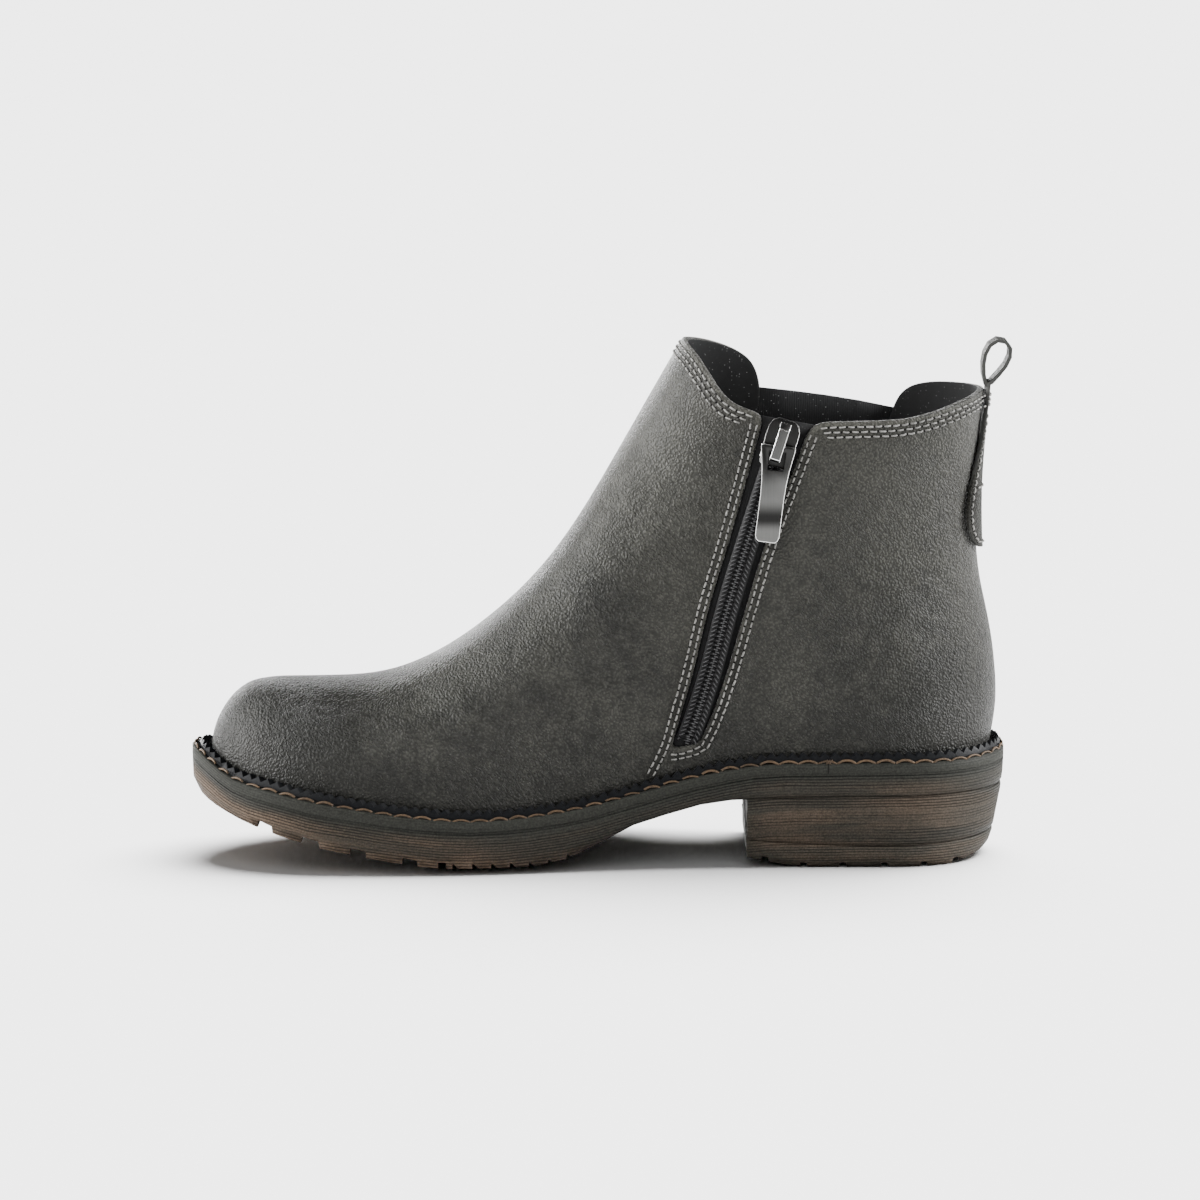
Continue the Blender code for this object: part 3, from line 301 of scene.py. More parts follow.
def smooth(knots, values, at):
    """Monotone cubic through a table, so that the curve never overshoots a row."""
    knots = np.asarray(knots, float)
    values = np.asarray(values, float)
    at = np.clip(np.asarray(at, float), knots[0], knots[-1])
    step = np.diff(knots)
    slope = np.diff(values) / step
    tangent = np.zeros_like(values)
    tangent[0] = slope[0]
    tangent[-1] = slope[-1]
    same = slope[:-1] * slope[1:] > 0
    safe_before = np.where(same, slope[:-1], 1.0)
    safe_after = np.where(same, slope[1:], 1.0)
    before = 2 * step[1:] + step[:-1]
    after = step[1:] + 2 * step[:-1]
    mean = (before + after) / (before / safe_before + after / safe_after)
    tangent[1:-1] = np.where(same, mean, 0.0)
    cell = np.clip(np.searchsorted(knots, at, side="right") - 1, 0, len(step) - 1)
    t = (at - knots[cell]) / step[cell]
    start = (1 + 2 * t) * (1 - t) ** 2 * values[cell] + t * (1 - t) ** 2 * step[cell] * tangent[cell]
    end = t * t * (3 - 2 * t) * values[cell + 1] + t * t * (t - 1) * step[cell] * tangent[cell + 1]
    return start + end


def table(rows, key, field, at):
    """One column of a table of named rows, read between its rows."""
    return smooth([getattr(row, key) for row in rows], [getattr(row, field) for row in rows], at)


def ease(value, low, high):
    """Smooth step from 0 at low to 1 at high."""
    t = np.clip((np.asarray(value, float) - low) / (high - low), 0.0, 1.0)
    return t * t * (3 - 2 * t)


def round_end(distance, depth):
    """Quarter ellipse: 0 at the end of the plan outline, 1 from the given depth on."""
    t = 1 - np.clip(np.asarray(distance, float) / depth, 0.0, 1.0)
    return np.sqrt(np.clip(1 - t * t, 0.0, 1.0))


def welt_top(x):
    """Height of the top of the welt along the shoe."""
    return table(SEAT, "x", "z", x)


def spine(x):
    """Centre line of the foot, drawn to the inner side towards the toe."""
    return -7.0 * (1 - ease(x, -112.0, 42.0))


def plan_point(share, side, edge, out=0.0):
    """Point on an outline: edge 0 is the upper's widest line, 1 the sole's edge; out is outward."""
    toe = TOE_X + edge * (SOLE_TOE_X - TOE_X) - out
    heel = HEEL_X + edge * (SOLE_HEEL_X - HEEL_X) + out
    x = toe + (heel - toe) * share
    half = table(LAST, "x", "medial" if side < 0 else "lateral", x)
    width = half + edge * table(LAST, "x", "margin", x) + out
    width = width * round_end(x - toe, TOE_DEPTH + TOE_X - toe)
    width = width * round_end(heel - x, HEEL_DEPTH + heel - HEEL_X)
    return x, spine(x) + side * width


def packed(x, y, z):
    """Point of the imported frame, in metres, from pattern sizes in millimetres."""
    return (Vector((float(x), float(y), float(z))) + CENTRING) * MM


def stations_around(edge, pitch, per_pitch=1):
    """Evenly spaced places round the sole, as share and side, a whole number of pitches in all."""
    steps = (1 - np.cos(np.linspace(0, math.pi, 700))) / 2
    shares = np.concatenate([steps, steps[-2::-1]])
    sides = np.where(np.arange(len(shares)) < len(steps), MEDIAL, LATERAL)
    near_x, near_y = plan_point(shares, MEDIAL, edge)
    far_y = plan_point(shares, LATERAL, edge)[1]
    y = np.where(sides < 0, near_y, far_y)
    length = np.concatenate([[0.0], np.cumsum(np.hypot(np.diff(near_x), np.diff(y)))])
    count = int(round(length[-1] * MM / pitch)) * per_pitch
    wanted = np.arange(count) * length[-1] / count
    half = length[len(steps) - 1]
    places = np.interp(wanted, length, np.concatenate([steps, 2 - steps[-2::-1]]))
    return [(float(p), MEDIAL) if w <= half else (float(2 - p), LATERAL) for p, w in zip(places, wanted)]


def welt_place(share, side, edge, rise, out=0.0):
    """Packed point round the sole, at a rise above the top of the welt."""
    x, y = plan_point(share, side, edge, out)
    return packed(x, y, welt_top(x) + rise)


def side_line(points, aside=0.0, step=0.4):
    """Dense side-view line through points, moved sideways (to the right of its run) by a distance."""
    points = np.asarray(points, float)
    chord = np.concatenate([[0.0], np.cumsum(np.hypot(*np.diff(points, axis=0).T))])
    fine = np.arange(0.0, chord[-1], step)
    line = np.stack([smooth(chord, points[:, 0], fine), smooth(chord, points[:, 1], fine)], axis=1)
    run = np.gradient(line, axis=0)
    run /= np.linalg.norm(run, axis=1)[:, None]
    return line + aside * np.stack([run[:, 1], -run[:, 0]], axis=1)


# Meshes


def merged_node(name):
    """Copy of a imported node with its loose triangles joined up."""
    bm = bmesh.new()
    bm.from_mesh(frame["nodes"][name].data)
    bmesh.ops.remove_doubles(bm, verts=bm.verts, dist=0.002 * MM)
    return bm


def add_piece(name, bm, materials, body="boot", replaces=(), sharp=None):
    """Turns a bmesh into a piece that rides on a body."""
    mesh = bpy.data.meshes.new(name)
    bm.to_mesh(mesh)
    bm.free()
    for material in materials:
        mesh.materials.append(material)
    mesh.shade_smooth()
    if sharp is not None:
        mesh.set_sharp_from_angle(angle=math.radians(sharp))
    obj = bpy.data.objects.new(name, mesh)
    bpy.context.scene.collection.objects.link(obj)
    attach(obj, body)
    if replaces:
        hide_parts(*replaces)
    return obj


def subdivide(obj, levels):
    """Applies a subdivision surface, so that later steps see the smooth mesh."""
    modifier = obj.modifiers.new("smooth", "SUBSURF")
    modifier.levels = levels
    modifier.render_levels = levels
    modifier.boundary_smooth = "PRESERVE_CORNERS"
    graph = bpy.context.evaluated_depsgraph_get()
    mesh = bpy.data.meshes.new_from_object(obj.evaluated_get(graph))
    obj.modifiers.clear()
    old = obj.data
    obj.data = mesh
    bpy.data.meshes.remove(old)
    mesh.name = obj.name


def set_attribute(obj, name, values):
    """Gives every vertex of a piece a number that its finish reads."""
    layer = obj.data.attributes.new(name, "FLOAT", "POINT")
    layer.data.foreach_set("value", np.asarray(values, np.float32))


def surface_tree(meshes, wanted=None):
    """Ray and nearest-point search over meshes, or over the faces of one material slot."""
    points = []
    faces = []
    for mesh in meshes:
        start = len(points)
        points.extend(v.co.copy() for v in mesh.vertices)
        for face in mesh.polygons:
            if wanted is None or face.material_index == wanted:
                faces.append([start + i for i in face.vertices])
    return BVHTree.FromPolygons(points, faces)


def repeat(bm, shape, places):
    """Adds a copy of a small mesh at every place."""
    for place in places:
        copy = shape.copy()
        copy.transform(place)
        bm.from_mesh(copy)
        bpy.data.meshes.remove(copy)


def thread_arch(length, rise, width, sides=6, steps=5):
    """One stitch: a round thread bent into a low arch, its ends going down into the material."""
    radius = (length * length / 4 + rise * rise) / (2 * rise)
    turn = 2 * math.asin(min(1.0, length / 2 / radius))
    bm = bmesh.new()
    stand = Matrix.Translation((0.0, 0.0, radius)) @ Matrix.Rotation(math.pi / 2, 4, "Y")
    bmesh.ops.create_circle(bm, segments=sides, radius=width / 2, cap_ends=True, matrix=stand)
    bmesh.ops.rotate(bm, verts=bm.verts, cent=(0, 0, 0), matrix=Matrix.Rotation(-turn / 2, 3, "Y"))
    bmesh.ops.spin(bm, geom=bm.verts[:] + bm.edges[:] + bm.faces[:], cent=(0, 0, 0), axis=(0, 1, 0),
                   angle=turn, steps=steps, use_duplicate=False)
    bmesh.ops.translate(bm, verts=bm.verts, vec=(0.0, 0.0, rise - radius))
    bmesh.ops.recalc_face_normals(bm, faces=bm.faces)
    return mesh_from(bm, "stitch")


def mesh_from(bm, name):
    """Small mesh to be repeated; its bmesh is freed."""
    mesh = bpy.data.meshes.new(name)
    bm.to_mesh(mesh)
    bm.free()
    return mesh


def place_on(point, along, normal):
    """Matrix with X along a row and Z out of the surface."""
    z = normal.normalized()
    x = (along - z * along.dot(z)).normalized()
    y = z.cross(x)
    return Matrix.Translation(point) @ Matrix((x, y, z)).transposed().to_4x4()


def spaced(row, pitch):
    """Even places along a row of (point, normal), as matrices, a whole number of pitches in all."""
    points = np.array([p for p, _ in row])
    length = np.concatenate([[0.0], np.cumsum(np.linalg.norm(np.diff(points, axis=0), axis=1))])
    count = max(1, int(round(length[-1] / pitch)))
    places = []
    for i in range(count):
        at = (i + 0.5) * length[-1] / count
        k = int(np.clip(np.searchsorted(length, at) - 1, 0, len(row) - 2))
        t = (at - length[k]) / max(length[k + 1] - length[k], 1e-9)
        a = row[max(k - 1, 0)][0]
        b = row[min(k + 2, len(row) - 1)][0]
        point = row[k][0].lerp(row[k + 1][0], t)
        normal = row[k][1].lerp(row[k + 1][1], t)
        places.append(place_on(point, b - a, normal))
    return places


def cast_row(tree, line, side):
    """Side-view line in pattern millimetres laid on a surface by looking along Y."""
    row = []
    for x, z in line:
        start = packed(x, side * 120.0, z)
        hit, normal, _, _ = tree.ray_cast(start, Vector((0.0, -side, 0.0)))
        if hit is not None:
            row.append((hit, normal))
    return row


# Node helpers and shared effects


def feed(tree, node, inputs):
    """Sets a node's inputs: a socket is linked, anything else becomes the input's own value."""
    for key, value in dict(inputs).items():
        if isinstance(value, bpy.types.NodeSocket):
            tree.links.new(value, node.inputs[key])
        else:
            node.inputs[key].default_value = value


def add(tree, kind, inputs=(), **settings):
    node = tree.nodes.new(kind)
    for key, value in settings.items():
        setattr(node, key, value)
    feed(tree, node, inputs)
    return node


def use(tree, group, inputs):
    """Places a shared effect in a material and returns its outputs."""
    return add(tree, "ShaderNodeGroup", inputs, node_tree=group).outputs


def maths(tree, operation, *values):
    return add(tree, "ShaderNodeMath", dict(enumerate(values)), operation=operation).outputs[0]


def plus(tree, a, b):
    return maths(tree, "ADD", a, b)


def minus(tree, a, b):
    return maths(tree, "SUBTRACT", a, b)


def times(tree, a, b):
    return maths(tree, "MULTIPLY", a, b)


def vector_maths(tree, operation, a, b):
    return add(tree, "ShaderNodeVectorMath", {0: a, 1: b}, operation=operation).outputs


def scaled(tree, colour, factor):
    return vector_maths(tree, "MULTIPLY", colour, factor)[0]


def parts_of(tree, vector):
    return add(tree, "ShaderNodeSeparateXYZ", {0: vector}).outputs


def joined(tree, parts):
    return add(tree, "ShaderNodeCombineXYZ", dict(enumerate(parts))).outputs[0]


def spread(tree, value, low, high, to_low=0.0, to_high=1.0):
    """Smooth step from low to high, with the two results that it runs between."""
    inputs = {"Value": value, "From Min": low, "From Max": high, "To Min": to_low, "To Max": to_high}
    return add(tree, "ShaderNodeMapRange", inputs, interpolation_type="SMOOTHSTEP").outputs[0]


def tint(tree, factor, a, b):
    return add(tree, "ShaderNodeMix", {0: factor, 6: a, 7: b}, data_type="RGBA").outputs[2]


def rgba(colour, share=1.0):
    return [share * part for part in colour] + [1.0]


def two_tone(tree, factor, colour, low, high):
    """Runs between a darker and a lighter share of one colour."""
    return tint(tree, factor, rgba(colour, low), rgba(colour, high))


def noise(tree, vector, scale, detail=2.0, rough=0.5):
    inputs = {"Vector": vector, "Scale": scale, "Detail": detail, "Roughness": rough}
    return add(tree, "ShaderNodeTexNoise", inputs).outputs["Fac"]


def waves(tree, vector, scale, direction, **more):
    inputs = {"Vector": vector, "Scale": scale, "Detail": 1.0, **more}
    return add(tree, "ShaderNodeTexWave", inputs, bands_direction=direction).outputs["Fac"]


def place_vector(tree):
    return add(tree, "ShaderNodeTexCoord").outputs["Object"]


def attribute(tree, name):
    return add(tree, "ShaderNodeAttribute", attribute_name=name).outputs["Fac"]


def effect(name, number, outputs):
    """Empty node group that takes a place and perhaps a number; returns its tree, inputs and output node."""
    tree = bpy.data.node_groups.new(name, "ShaderNodeTree")
    tree.interface.new_socket(name="Vector", in_out="INPUT", socket_type="NodeSocketVector")
    if number:
        tree.interface.new_socket(name=number, in_out="INPUT", socket_type="NodeSocketFloat")
    for label in outputs:
        tree.interface.new_socket(name=label, in_out="OUTPUT", socket_type="NodeSocketFloat")
    return tree, tree.nodes.new("NodeGroupInput").outputs, tree.nodes.new("NodeGroupOutput")


def grain_effect():
    """Pebbled leather grain: height for bump, and a shade that darkens the furrows."""
    group, inputs, end = effect("leather_grain", "Scale", ("Height", "Shade"))
    where = inputs["Vector"]
    bend = add(group, "ShaderNodeTexNoise", {"Vector": where, "Scale": 260.0, "Detail": 2.0}).outputs["Color"]
    bent = vector_maths(group, "ADD", where, scaled(group, bend, (1.6 * MM, 1.6 * MM, 1.6 * MM)))[0]
    cells = add(group, "ShaderNodeTexVoronoi", {"Vector": bent, "Scale": inputs["Scale"], "Smoothness": 0.6},
                feature="SMOOTH_F1").outputs["Distance"]
    fine = noise(group, bent, 1500.0, 3.0, 0.6)
    pebble = spread(group, cells, 0.05, 0.75, 1.0, 0.0)
    slant = []
    for axis, pitch in (((0.7, 0.0, -0.7), 0.33), ((0.0, 1.0, 0.0), 0.5), ((0.7, 0.0, 0.7), 1.0)):
        along = vector_maths(group, "DOT_PRODUCT", bent, axis)["Value"]
        slant.append(times(group, along, pitch))
    run = joined(group, slant)

    def folds(scale, patch_scale):
        """Thin slanting lines, in patches."""
        fold = maths(group, "ABSOLUTE", minus(group, noise(group, run, scale, 2.0, 0.6), 0.5))
        patch = spread(group, noise(group, where, patch_scale, 2.0), 0.40, 0.62)
        return times(group, spread(group, fold, 0.0, 0.10, 1.0, 0.0), patch)

    height = plus(group, times(group, pebble, 0.5), times(group, fine, 0.42))
    height = minus(group, height, times(group, folds(1000.0, 45.0), 0.34))
    shade = spread(group, height, 0.1, 0.7)
    height = minus(group, height, times(group, folds(420.0, 30.0), 0.3))
    feed(group, end, {"Height": height, "Shade": shade})
    return group


def striation_effect():
    """Fine lines that run along the sole side, like planed wood."""
    group, inputs, end = effect("sole_lines", "Depth", ("Lines", "Streaks"))
    where = inputs["Vector"]
    parts = parts_of(group, where)
    depth = plus(group, inputs["Depth"], times(group, noise(group, where, 30.0, 2.0), 1.6 * MM))

    def stretched(along, down):
        """Place whose pattern is drawn out along the shoe."""
        runs = (times(group, parts[0], along), times(group, parts[1], along), times(group, depth, down))
        return joined(group, runs)

    sway = times(group, noise(group, stretched(9.0, 160.0), 1.0, 2.0), 9.0)
    wave = plus(group, times(group, depth, math.tau / (0.95 * MM)), sway)
    shown = spread(group, noise(group, stretched(14.0, 420.0), 1.0, 2.0), 0.32, 0.60, 0.3, 1.0)
    lines = times(group, spread(group, maths(group, "SINE", wave), 0.0, 0.95), shown)
    streaks = noise(group, stretched(16.0, 120.0), 1.0, 3.0, 0.55)
    feed(group, end, {"Lines": lines, "Streaks": spread(group, streaks, 0.32, 0.68)})
    return group


def speck_effect():
    """Sparse pale fibre ends in dark cloth."""
    group, inputs, end = effect("fibre_specks", None, ("Specks",))
    cells = add(group, "ShaderNodeTexVoronoi", {"Vector": inputs["Vector"], "Scale": 1200.0}).outputs
    dot = spread(group, cells["Distance"], 0.10, 0.26, 1.0, 0.0)
    some = spread(group, parts_of(group, cells["Color"])[0], 0.70, 0.92)
    feed(group, end, {"Specks": times(group, dot, some)})
    return group


def weave_effect():
    """Crossed threads as height."""
    group, inputs, end = effect("cloth_weave", "Scale", ("Height",))
    across, down = (waves(group, inputs["Vector"], inputs["Scale"], axis, Distortion=1.0) for axis in "XZ")
    feed(group, end, {"Height": maths(group, "MAXIMUM", across, down)})
    return group


def new_finish(name):
    material = bpy.data.materials.new(name)
    material.use_nodes = True
    tree = material.node_tree
    return material, tree, tree.nodes["Principled BSDF"]


def raise_surface(tree, shader, height, distance, strength=1.0):
    bump = add(tree, "ShaderNodeBump", {"Height": height, "Strength": strength, "Distance": distance})
    feed(tree, shader, {"Normal": bump.outputs[0]})


class Finishes:
    """All materials of the bootie, made once."""

    def __init__(self, colours):
        self.colours = colours
        self.grain = grain_effect()
        self.lines = striation_effect()
        self.specks = speck_effect()
        self.weave = weave_effect()
        self.leather = self.make_leather("leather", True)
        self.strap = self.make_leather("strap_leather", False, 0.62)
        self.edge = self.make_rubber("edge_paint", (0.034, 0.034, 0.0322), 0.6)
        self.fold = self.make_leather("fold_leather", False)
        # The lining gets painted shade towards the heel
        self.lining = self.make_cloth("lining_cloth", colours.lining, 900.0, 0.3, 0.5)
        self.elastic = self.make_elastic()
        self.tape = self.make_cloth("zip_tape_cloth", colours.black, 1400.0, 0.05)
        self.sock = self.make_cloth("insole_cloth", colours.lining, 700.0, 0.2)
        self.thread = self.make_thread("upper_thread", colours.thread)
        self.welt_thread = self.make_thread("welt_thread", colours.welt_thread)
        self.coil = self.make_rubber("coil_plastic", (0.006, 0.006, 0.0062), 0.4)
        # Pale heads of the coil are a painted highlight; the same pale finish is the coil's sewing thread
        self.coil_thread_and_highlight = self.make_rubber("coil_heads", (0.045, 0.045, 0.046), 0.4)
        self.bead = self.make_rubber("bead_black", (0.0045, 0.0048, 0.0054), 0.45)
        # Painted shade: near-black flat discs stand for the dark of the needle holes
        self.hole = self.make_rubber("needle_hole", (0.003, 0.003, 0.003), 0.9)
        self.sole = self.make_sole()
        self.metal = self.make_metal("bar_nickel", [0.55 * c for c in colours.metal], 0.36)
        self.dull = self.make_metal("dome_nickel", [0.16 * c for c in colours.metal], 0.4)
        # Dark nickel of the pull tab, with a painted reflection in bands by height
        self.tab_with_painted_reflection = self.make_metal("tab_nickel", colours.metal, 0.34, TAB_PAINTED_REFLECTION)
        self.polished = self.make_metal("polished_nickel", colours.polished, 0.2)

    def make_leather(self, name, tones_and_painted_light, share=1.0):
        """Smudged leather with grain; the flag adds the upper's tone, with its painted light and shade, and a
        lighter band along the top edge; a lower share is darker and duller.
        """
        material, tree, shader = new_finish(name)
        where = place_vector(tree)
        grain = use(tree, self.grain, {"Vector": where, "Scale": 1250.0})
        cloud = noise(tree, where, 28.0, 6.0, 0.62)
        smudge = noise(tree, where, 210.0, 5.0, 0.68)
        tone = plus(tree, plus(tree, times(tree, cloud, 0.46), times(tree, smudge, 0.36)), 0.09)
        if tones_and_painted_light:
            # Painted light and shade: the upper's tone darkens the leather above the bead and in some
            # patches, and lightens others
            tone = plus(tree, tone, times(tree, attribute(tree, "tone"), 0.16))
        dark = times(tree, spread(tree, tone, 0.53, 0.36), 0.88)
        light = times(tree, spread(tree, tone, 0.52, 0.70), 0.7)
        colours = self.colours
        colour = tint(tree, dark, rgba(colours.leather), rgba(colours.leather_dark))
        colour = tint(tree, light, colour, rgba(colours.leather_light))
        colour = scaled(tree, colour, spread(tree, grain["Shade"], 0.0, 1.0, 0.66 * share, 1.22 * share))
        if tones_and_painted_light:
            # The wall is made lighter in a narrow band along its folded top edge
            lighter_near_top_edge = spread(tree, attribute(tree, "edge_gap"), 1.2, 1.8, 1.65, 1.0)
            colour = scaled(tree, colour, lighter_near_top_edge)
        feed(tree, shader, {
            "Base Color": colour,
            "Roughness": spread(tree, cloud, 0.35, 0.65, 0.48, 0.58),
            "Specular IOR Level": 0.12 * share ** 2,
            "Sheen Weight": 0.22 * share ** 3,
            "Sheen Roughness": 0.25,
        })
        raise_surface(tree, shader, grain["Height"], 0.5 * MM)
        return material

    def make_cloth(self, name, colour, scale, specks, heel_shade_share=1.0):
        """Woven cloth with pale fibre ends; the last argument is the share of its tone left at the heel,
        where painted shade darkens it.
        """
        material, tree, shader = new_finish(name)
        where = place_vector(tree)
        weave = use(tree, self.weave, {"Vector": where, "Scale": scale})["Height"]
        cloth = two_tone(tree, weave, colour, 0.6, 1.25)
        spots = times(tree, use(tree, self.specks, {"Vector": where})["Specks"], specks)
        cloth = tint(tree, spots, cloth, (0.4, 0.4, 0.4, 1.0))
        # Painted shade: the cloth darkens towards the heel
        painted_heel_shade = spread(tree, parts_of(tree, where)[0], 80.0 * MM, 110.0 * MM, 1.0, heel_shade_share)
        feed(tree, shader, {
            "Base Color": scaled(tree, cloth, painted_heel_shade),
            "Roughness": 0.9,
            "Specular IOR Level": 0.15,
        })
        raise_surface(tree, shader, weave, 0.2 * MM, 0.6)
        return material

    def make_elastic(self):
        """Ribbed black elastic with pale fibre ends."""
        material, tree, shader = new_finish("gore_elastic")
        where = place_vector(tree)
        ribs = waves(tree, where, 420.0, "X", **{"Distortion": 0.6, "Detail Scale": 2.0})
        cloth = two_tone(tree, ribs, self.colours.elastic, 0.8, 1.1)
        spots = times(tree, use(tree, self.specks, {"Vector": where})["Specks"], 0.42)
        feed(tree, shader, {
            "Base Color": tint(tree, spots, cloth, (0.35, 0.35, 0.35, 1.0)),
            "Roughness": 0.85,
            "Specular IOR Level": 0.15,
        })
        raise_surface(tree, shader, ribs, 0.12 * MM, 0.6)
        return material

    def make_thread(self, name, colour):
        """Twisted thread, unevenly dyed."""
        material, tree, shader = new_finish(name)
        where = place_vector(tree)
        fibre = noise(tree, where, 1800.0, 2.0)
        dye = noise(tree, where, 90.0, 2.0)
        mixed = plus(tree, times(tree, fibre, 0.6), times(tree, dye, 0.4))
        feed(tree, shader, {
            "Base Color": two_tone(tree, spread(tree, mixed, 0.3, 0.7), colour, 0.45, 1.25),
            "Roughness": 0.6,
            "Specular IOR Level": 0.2,
        })
        raise_surface(tree, shader, fibre, 0.2 * MM, 0.6)
        return material

    def make_rubber(self, name, colour, rough):
        """Plain plastic, paint or rubber with a fine dust."""
        material, tree, shader = new_finish(name)
        fine = noise(tree, place_vector(tree), 1200.0, 3.0)
        feed(tree, shader, {
            "Base Color": two_tone(tree, fine, colour, 0.75, 1.25),
            "Roughness": spread(tree, fine, 0.3, 0.7, rough - 0.06, rough + 0.08),
            "Specular IOR Level": 0.07,
        })
        raise_surface(tree, shader, fine, 0.12 * MM, 0.5)
        return material

    def make_sole(self):
        """Grey rubber that turns brown lower down, with drawn lines and the joint of the strip."""
        material, tree, shader = new_finish("sole_rubber")
        where = place_vector(tree)
        depth = attribute(tree, "depth")
        lines = use(tree, self.lines, {"Vector": where, "Depth": depth})
        low = spread(tree, depth, 4.0 * MM, 10.5 * MM)
        patchy = spread(tree, lines["Streaks"], 0.0, 0.9, 0.25, 1.0)
        brown = times(tree, times(tree, low, attribute(tree, "brown")), patchy)
        colour = tint(tree, brown, rgba(self.colours.sole_grey), rgba(self.colours.sole_brown))
        drawn = times(tree, lines["Lines"], spread(tree, depth, 2.2 * MM, 5.2 * MM, 0.4, 1.0))
        dust = spread(tree, noise(tree, where, 1700.0, 2.0, 0.7), 0.3, 0.75, 0.7, 1.45)
        # The rubber is made lighter at the lowest part of the heel
        lighter_low_down = spread(tree, depth, 26.5 * MM, 30.5 * MM, 1.0, 1.35)
        shade = times(tree, spread(tree, drawn, 0.0, 1.0, 1.18, 0.42), dust)
        shade = times(tree, times(tree, shade, self.strip_joint(tree, where, depth)), lighter_low_down)
        feed(tree, shader, {
            "Base Color": scaled(tree, colour, shade),
            "Roughness": spread(tree, lines["Streaks"], 0.0, 1.0, 0.55, 0.75),
            "Specular IOR Level": 0.07,
        })
        raise_surface(tree, shader, minus(tree, 1.0, drawn), 0.3 * MM, 0.8)
        return material

    def strip_joint(self, tree, where, depth):
        """Thin dark line where the ends of the welt strip meet, on the inner side only."""
        parts = parts_of(tree, where)
        gap = maths(tree, "ABSOLUTE", minus(tree, parts[0], JOINT_X * MM))
        line = spread(tree, gap, 0.14 * MM, 0.32 * MM, 0.75, 0.0)
        line = times(tree, line, spread(tree, depth, 3.2 * MM, 3.8 * MM, 1.0, 0.0))
        line = times(tree, line, spread(tree, parts[1], -2.0 * MM, 0.0, 1.0, 0.0))
        return minus(tree, 1.0, line)

    def make_metal(self, name, colour, rough, painted_reflection=()):
        """Brushed nickel, with bands of painted reflection where they are given."""
        material, tree, shader = new_finish(name)
        where = place_vector(tree)
        brushed = add(tree, "ShaderNodeMapping", {"Vector": where, "Scale": (2600.0, 2600.0, 60.0)})
        lines = noise(tree, brushed.outputs[0], 1.0, 2.0)
        shaded = two_tone(tree, lines, colour, 0.8, 1.15)
        # Painted reflection: each band brightens or darkens the base colour by height
        for band in painted_reflection:
            height = parts_of(tree, where)[2]
            share = spread(tree, height, band.low * MM, band.high * MM, band.at_low, band.at_high)
            shaded = scaled(tree, shaded, share)
        feed(tree, shader, {
            "Base Color": shaded,
            "Roughness": spread(tree, lines, 0.3, 0.7, rough - 0.05, rough + 0.06),
            "Metallic": 1.0,
        })
        return material


# Upper


def tag_walls(bm):
    """Marks outer wall, cut edges and inner wall as material 0, 1 and 2."""
    bm.faces.ensure_lookup_table()
    seen = set()
    groups = []
    for first in bm.faces:
        if first in seen:
            continue
        seen.add(first)
        group = [first]
        for face in group:
            for edge in face.edges:
                for other in edge.link_faces:
                    if other not in seen and face.normal.angle(other.normal, 0.0) < math.radians(48):
                        seen.add(other)
                        group.append(other)
        groups.append(group)
    groups.sort(key=lambda group: -sum(face.calc_area() for face in group))
    for index, group in enumerate(groups):
        for face in group:
            face.material_index = {0: 0, 1: 2}.get(index, 1)


def line_distance(points, x, z):
    """Distance in the side view from places to a line, and 0..1 weight that fades at its ends."""
    line = side_line(points, step=1.0)
    gap = np.hypot(x[:, None] - line[None, :, 0], z[:, None] - line[None, :, 1])
    nearest = gap.argmin(axis=1)
    share = nearest / (len(line) - 1)
    return gap.min(axis=1), ease(share, 0.0, 0.3) * ease(1 - share, 0.0, 0.3)


def press_creases(obj, free):
    """Soft troughs with low shoulders, only where the wall is free of an edge."""
    mesh = obj.data
    co = np.array([vertex.co for vertex in mesh.vertices])
    normals = np.array([vertex.normal for vertex in mesh.vertices])
    x = co[:, 0] / MM - CENTRING.x
    z = co[:, 2] / MM
    move = np.zeros(len(co))
    for crease in CREASES:
        gap, fade = line_distance(crease.points, x, z)
        facing = np.clip(normals[:, 1] * crease.side * 2.0, 0.0, 1.0)
        trough = -np.exp(-((gap / crease.width) ** 2))
        shoulder = 0.45 * np.exp(-(((gap - 2.0 * crease.width) / crease.width) ** 2))
        move += crease.depth * (trough + shoulder) * fade * facing
    co += normals * (move * free * MM)[:, None]
    mesh.vertices.foreach_set("co", co.ravel())
    mesh.update()


def top_edge(mesh):
    """Vertices in order along the leather's top edge, with the slot's and the gore's edges."""
    kind = {}
    for face in mesh.polygons:
        for key in face.edge_keys:
            kind.setdefault(key, set()).add(face.material_index)
    near = {}
    for (a, b), kinds in kind.items():
        if kinds == {0, 1}:
            near.setdefault(a, []).append(b)
            near.setdefault(b, []).append(a)
    start = max(near, key=lambda i: mesh.vertices[i].co.z)
    loop = [start]
    previous = None
    here = start
    while True:
        ahead = [i for i in near[here] if i != previous and i != start]
        if not ahead:
            return [mesh.vertices[i].co.copy() for i in loop]
        previous = here
        here = ahead[0]
        loop.append(here)


def tone_with_painted_light(place):
    """Tone of the leather at a place: painted shade above the bead, with the patches of the table, which are
    partly uneven colour and partly painted light and shade.
    """
    x = place.x / MM - CENTRING.x
    z = place.z / MM
    tone = -LOW_SHADE * math.exp(-(((z - welt_top(x)) / LOW_REACH) ** 2))
    for patch in PATCHES:
        far = math.hypot(x - patch.x, z - patch.z) / patch.radius
        tone += patch.strength * math.exp(-far * far)
    return tone


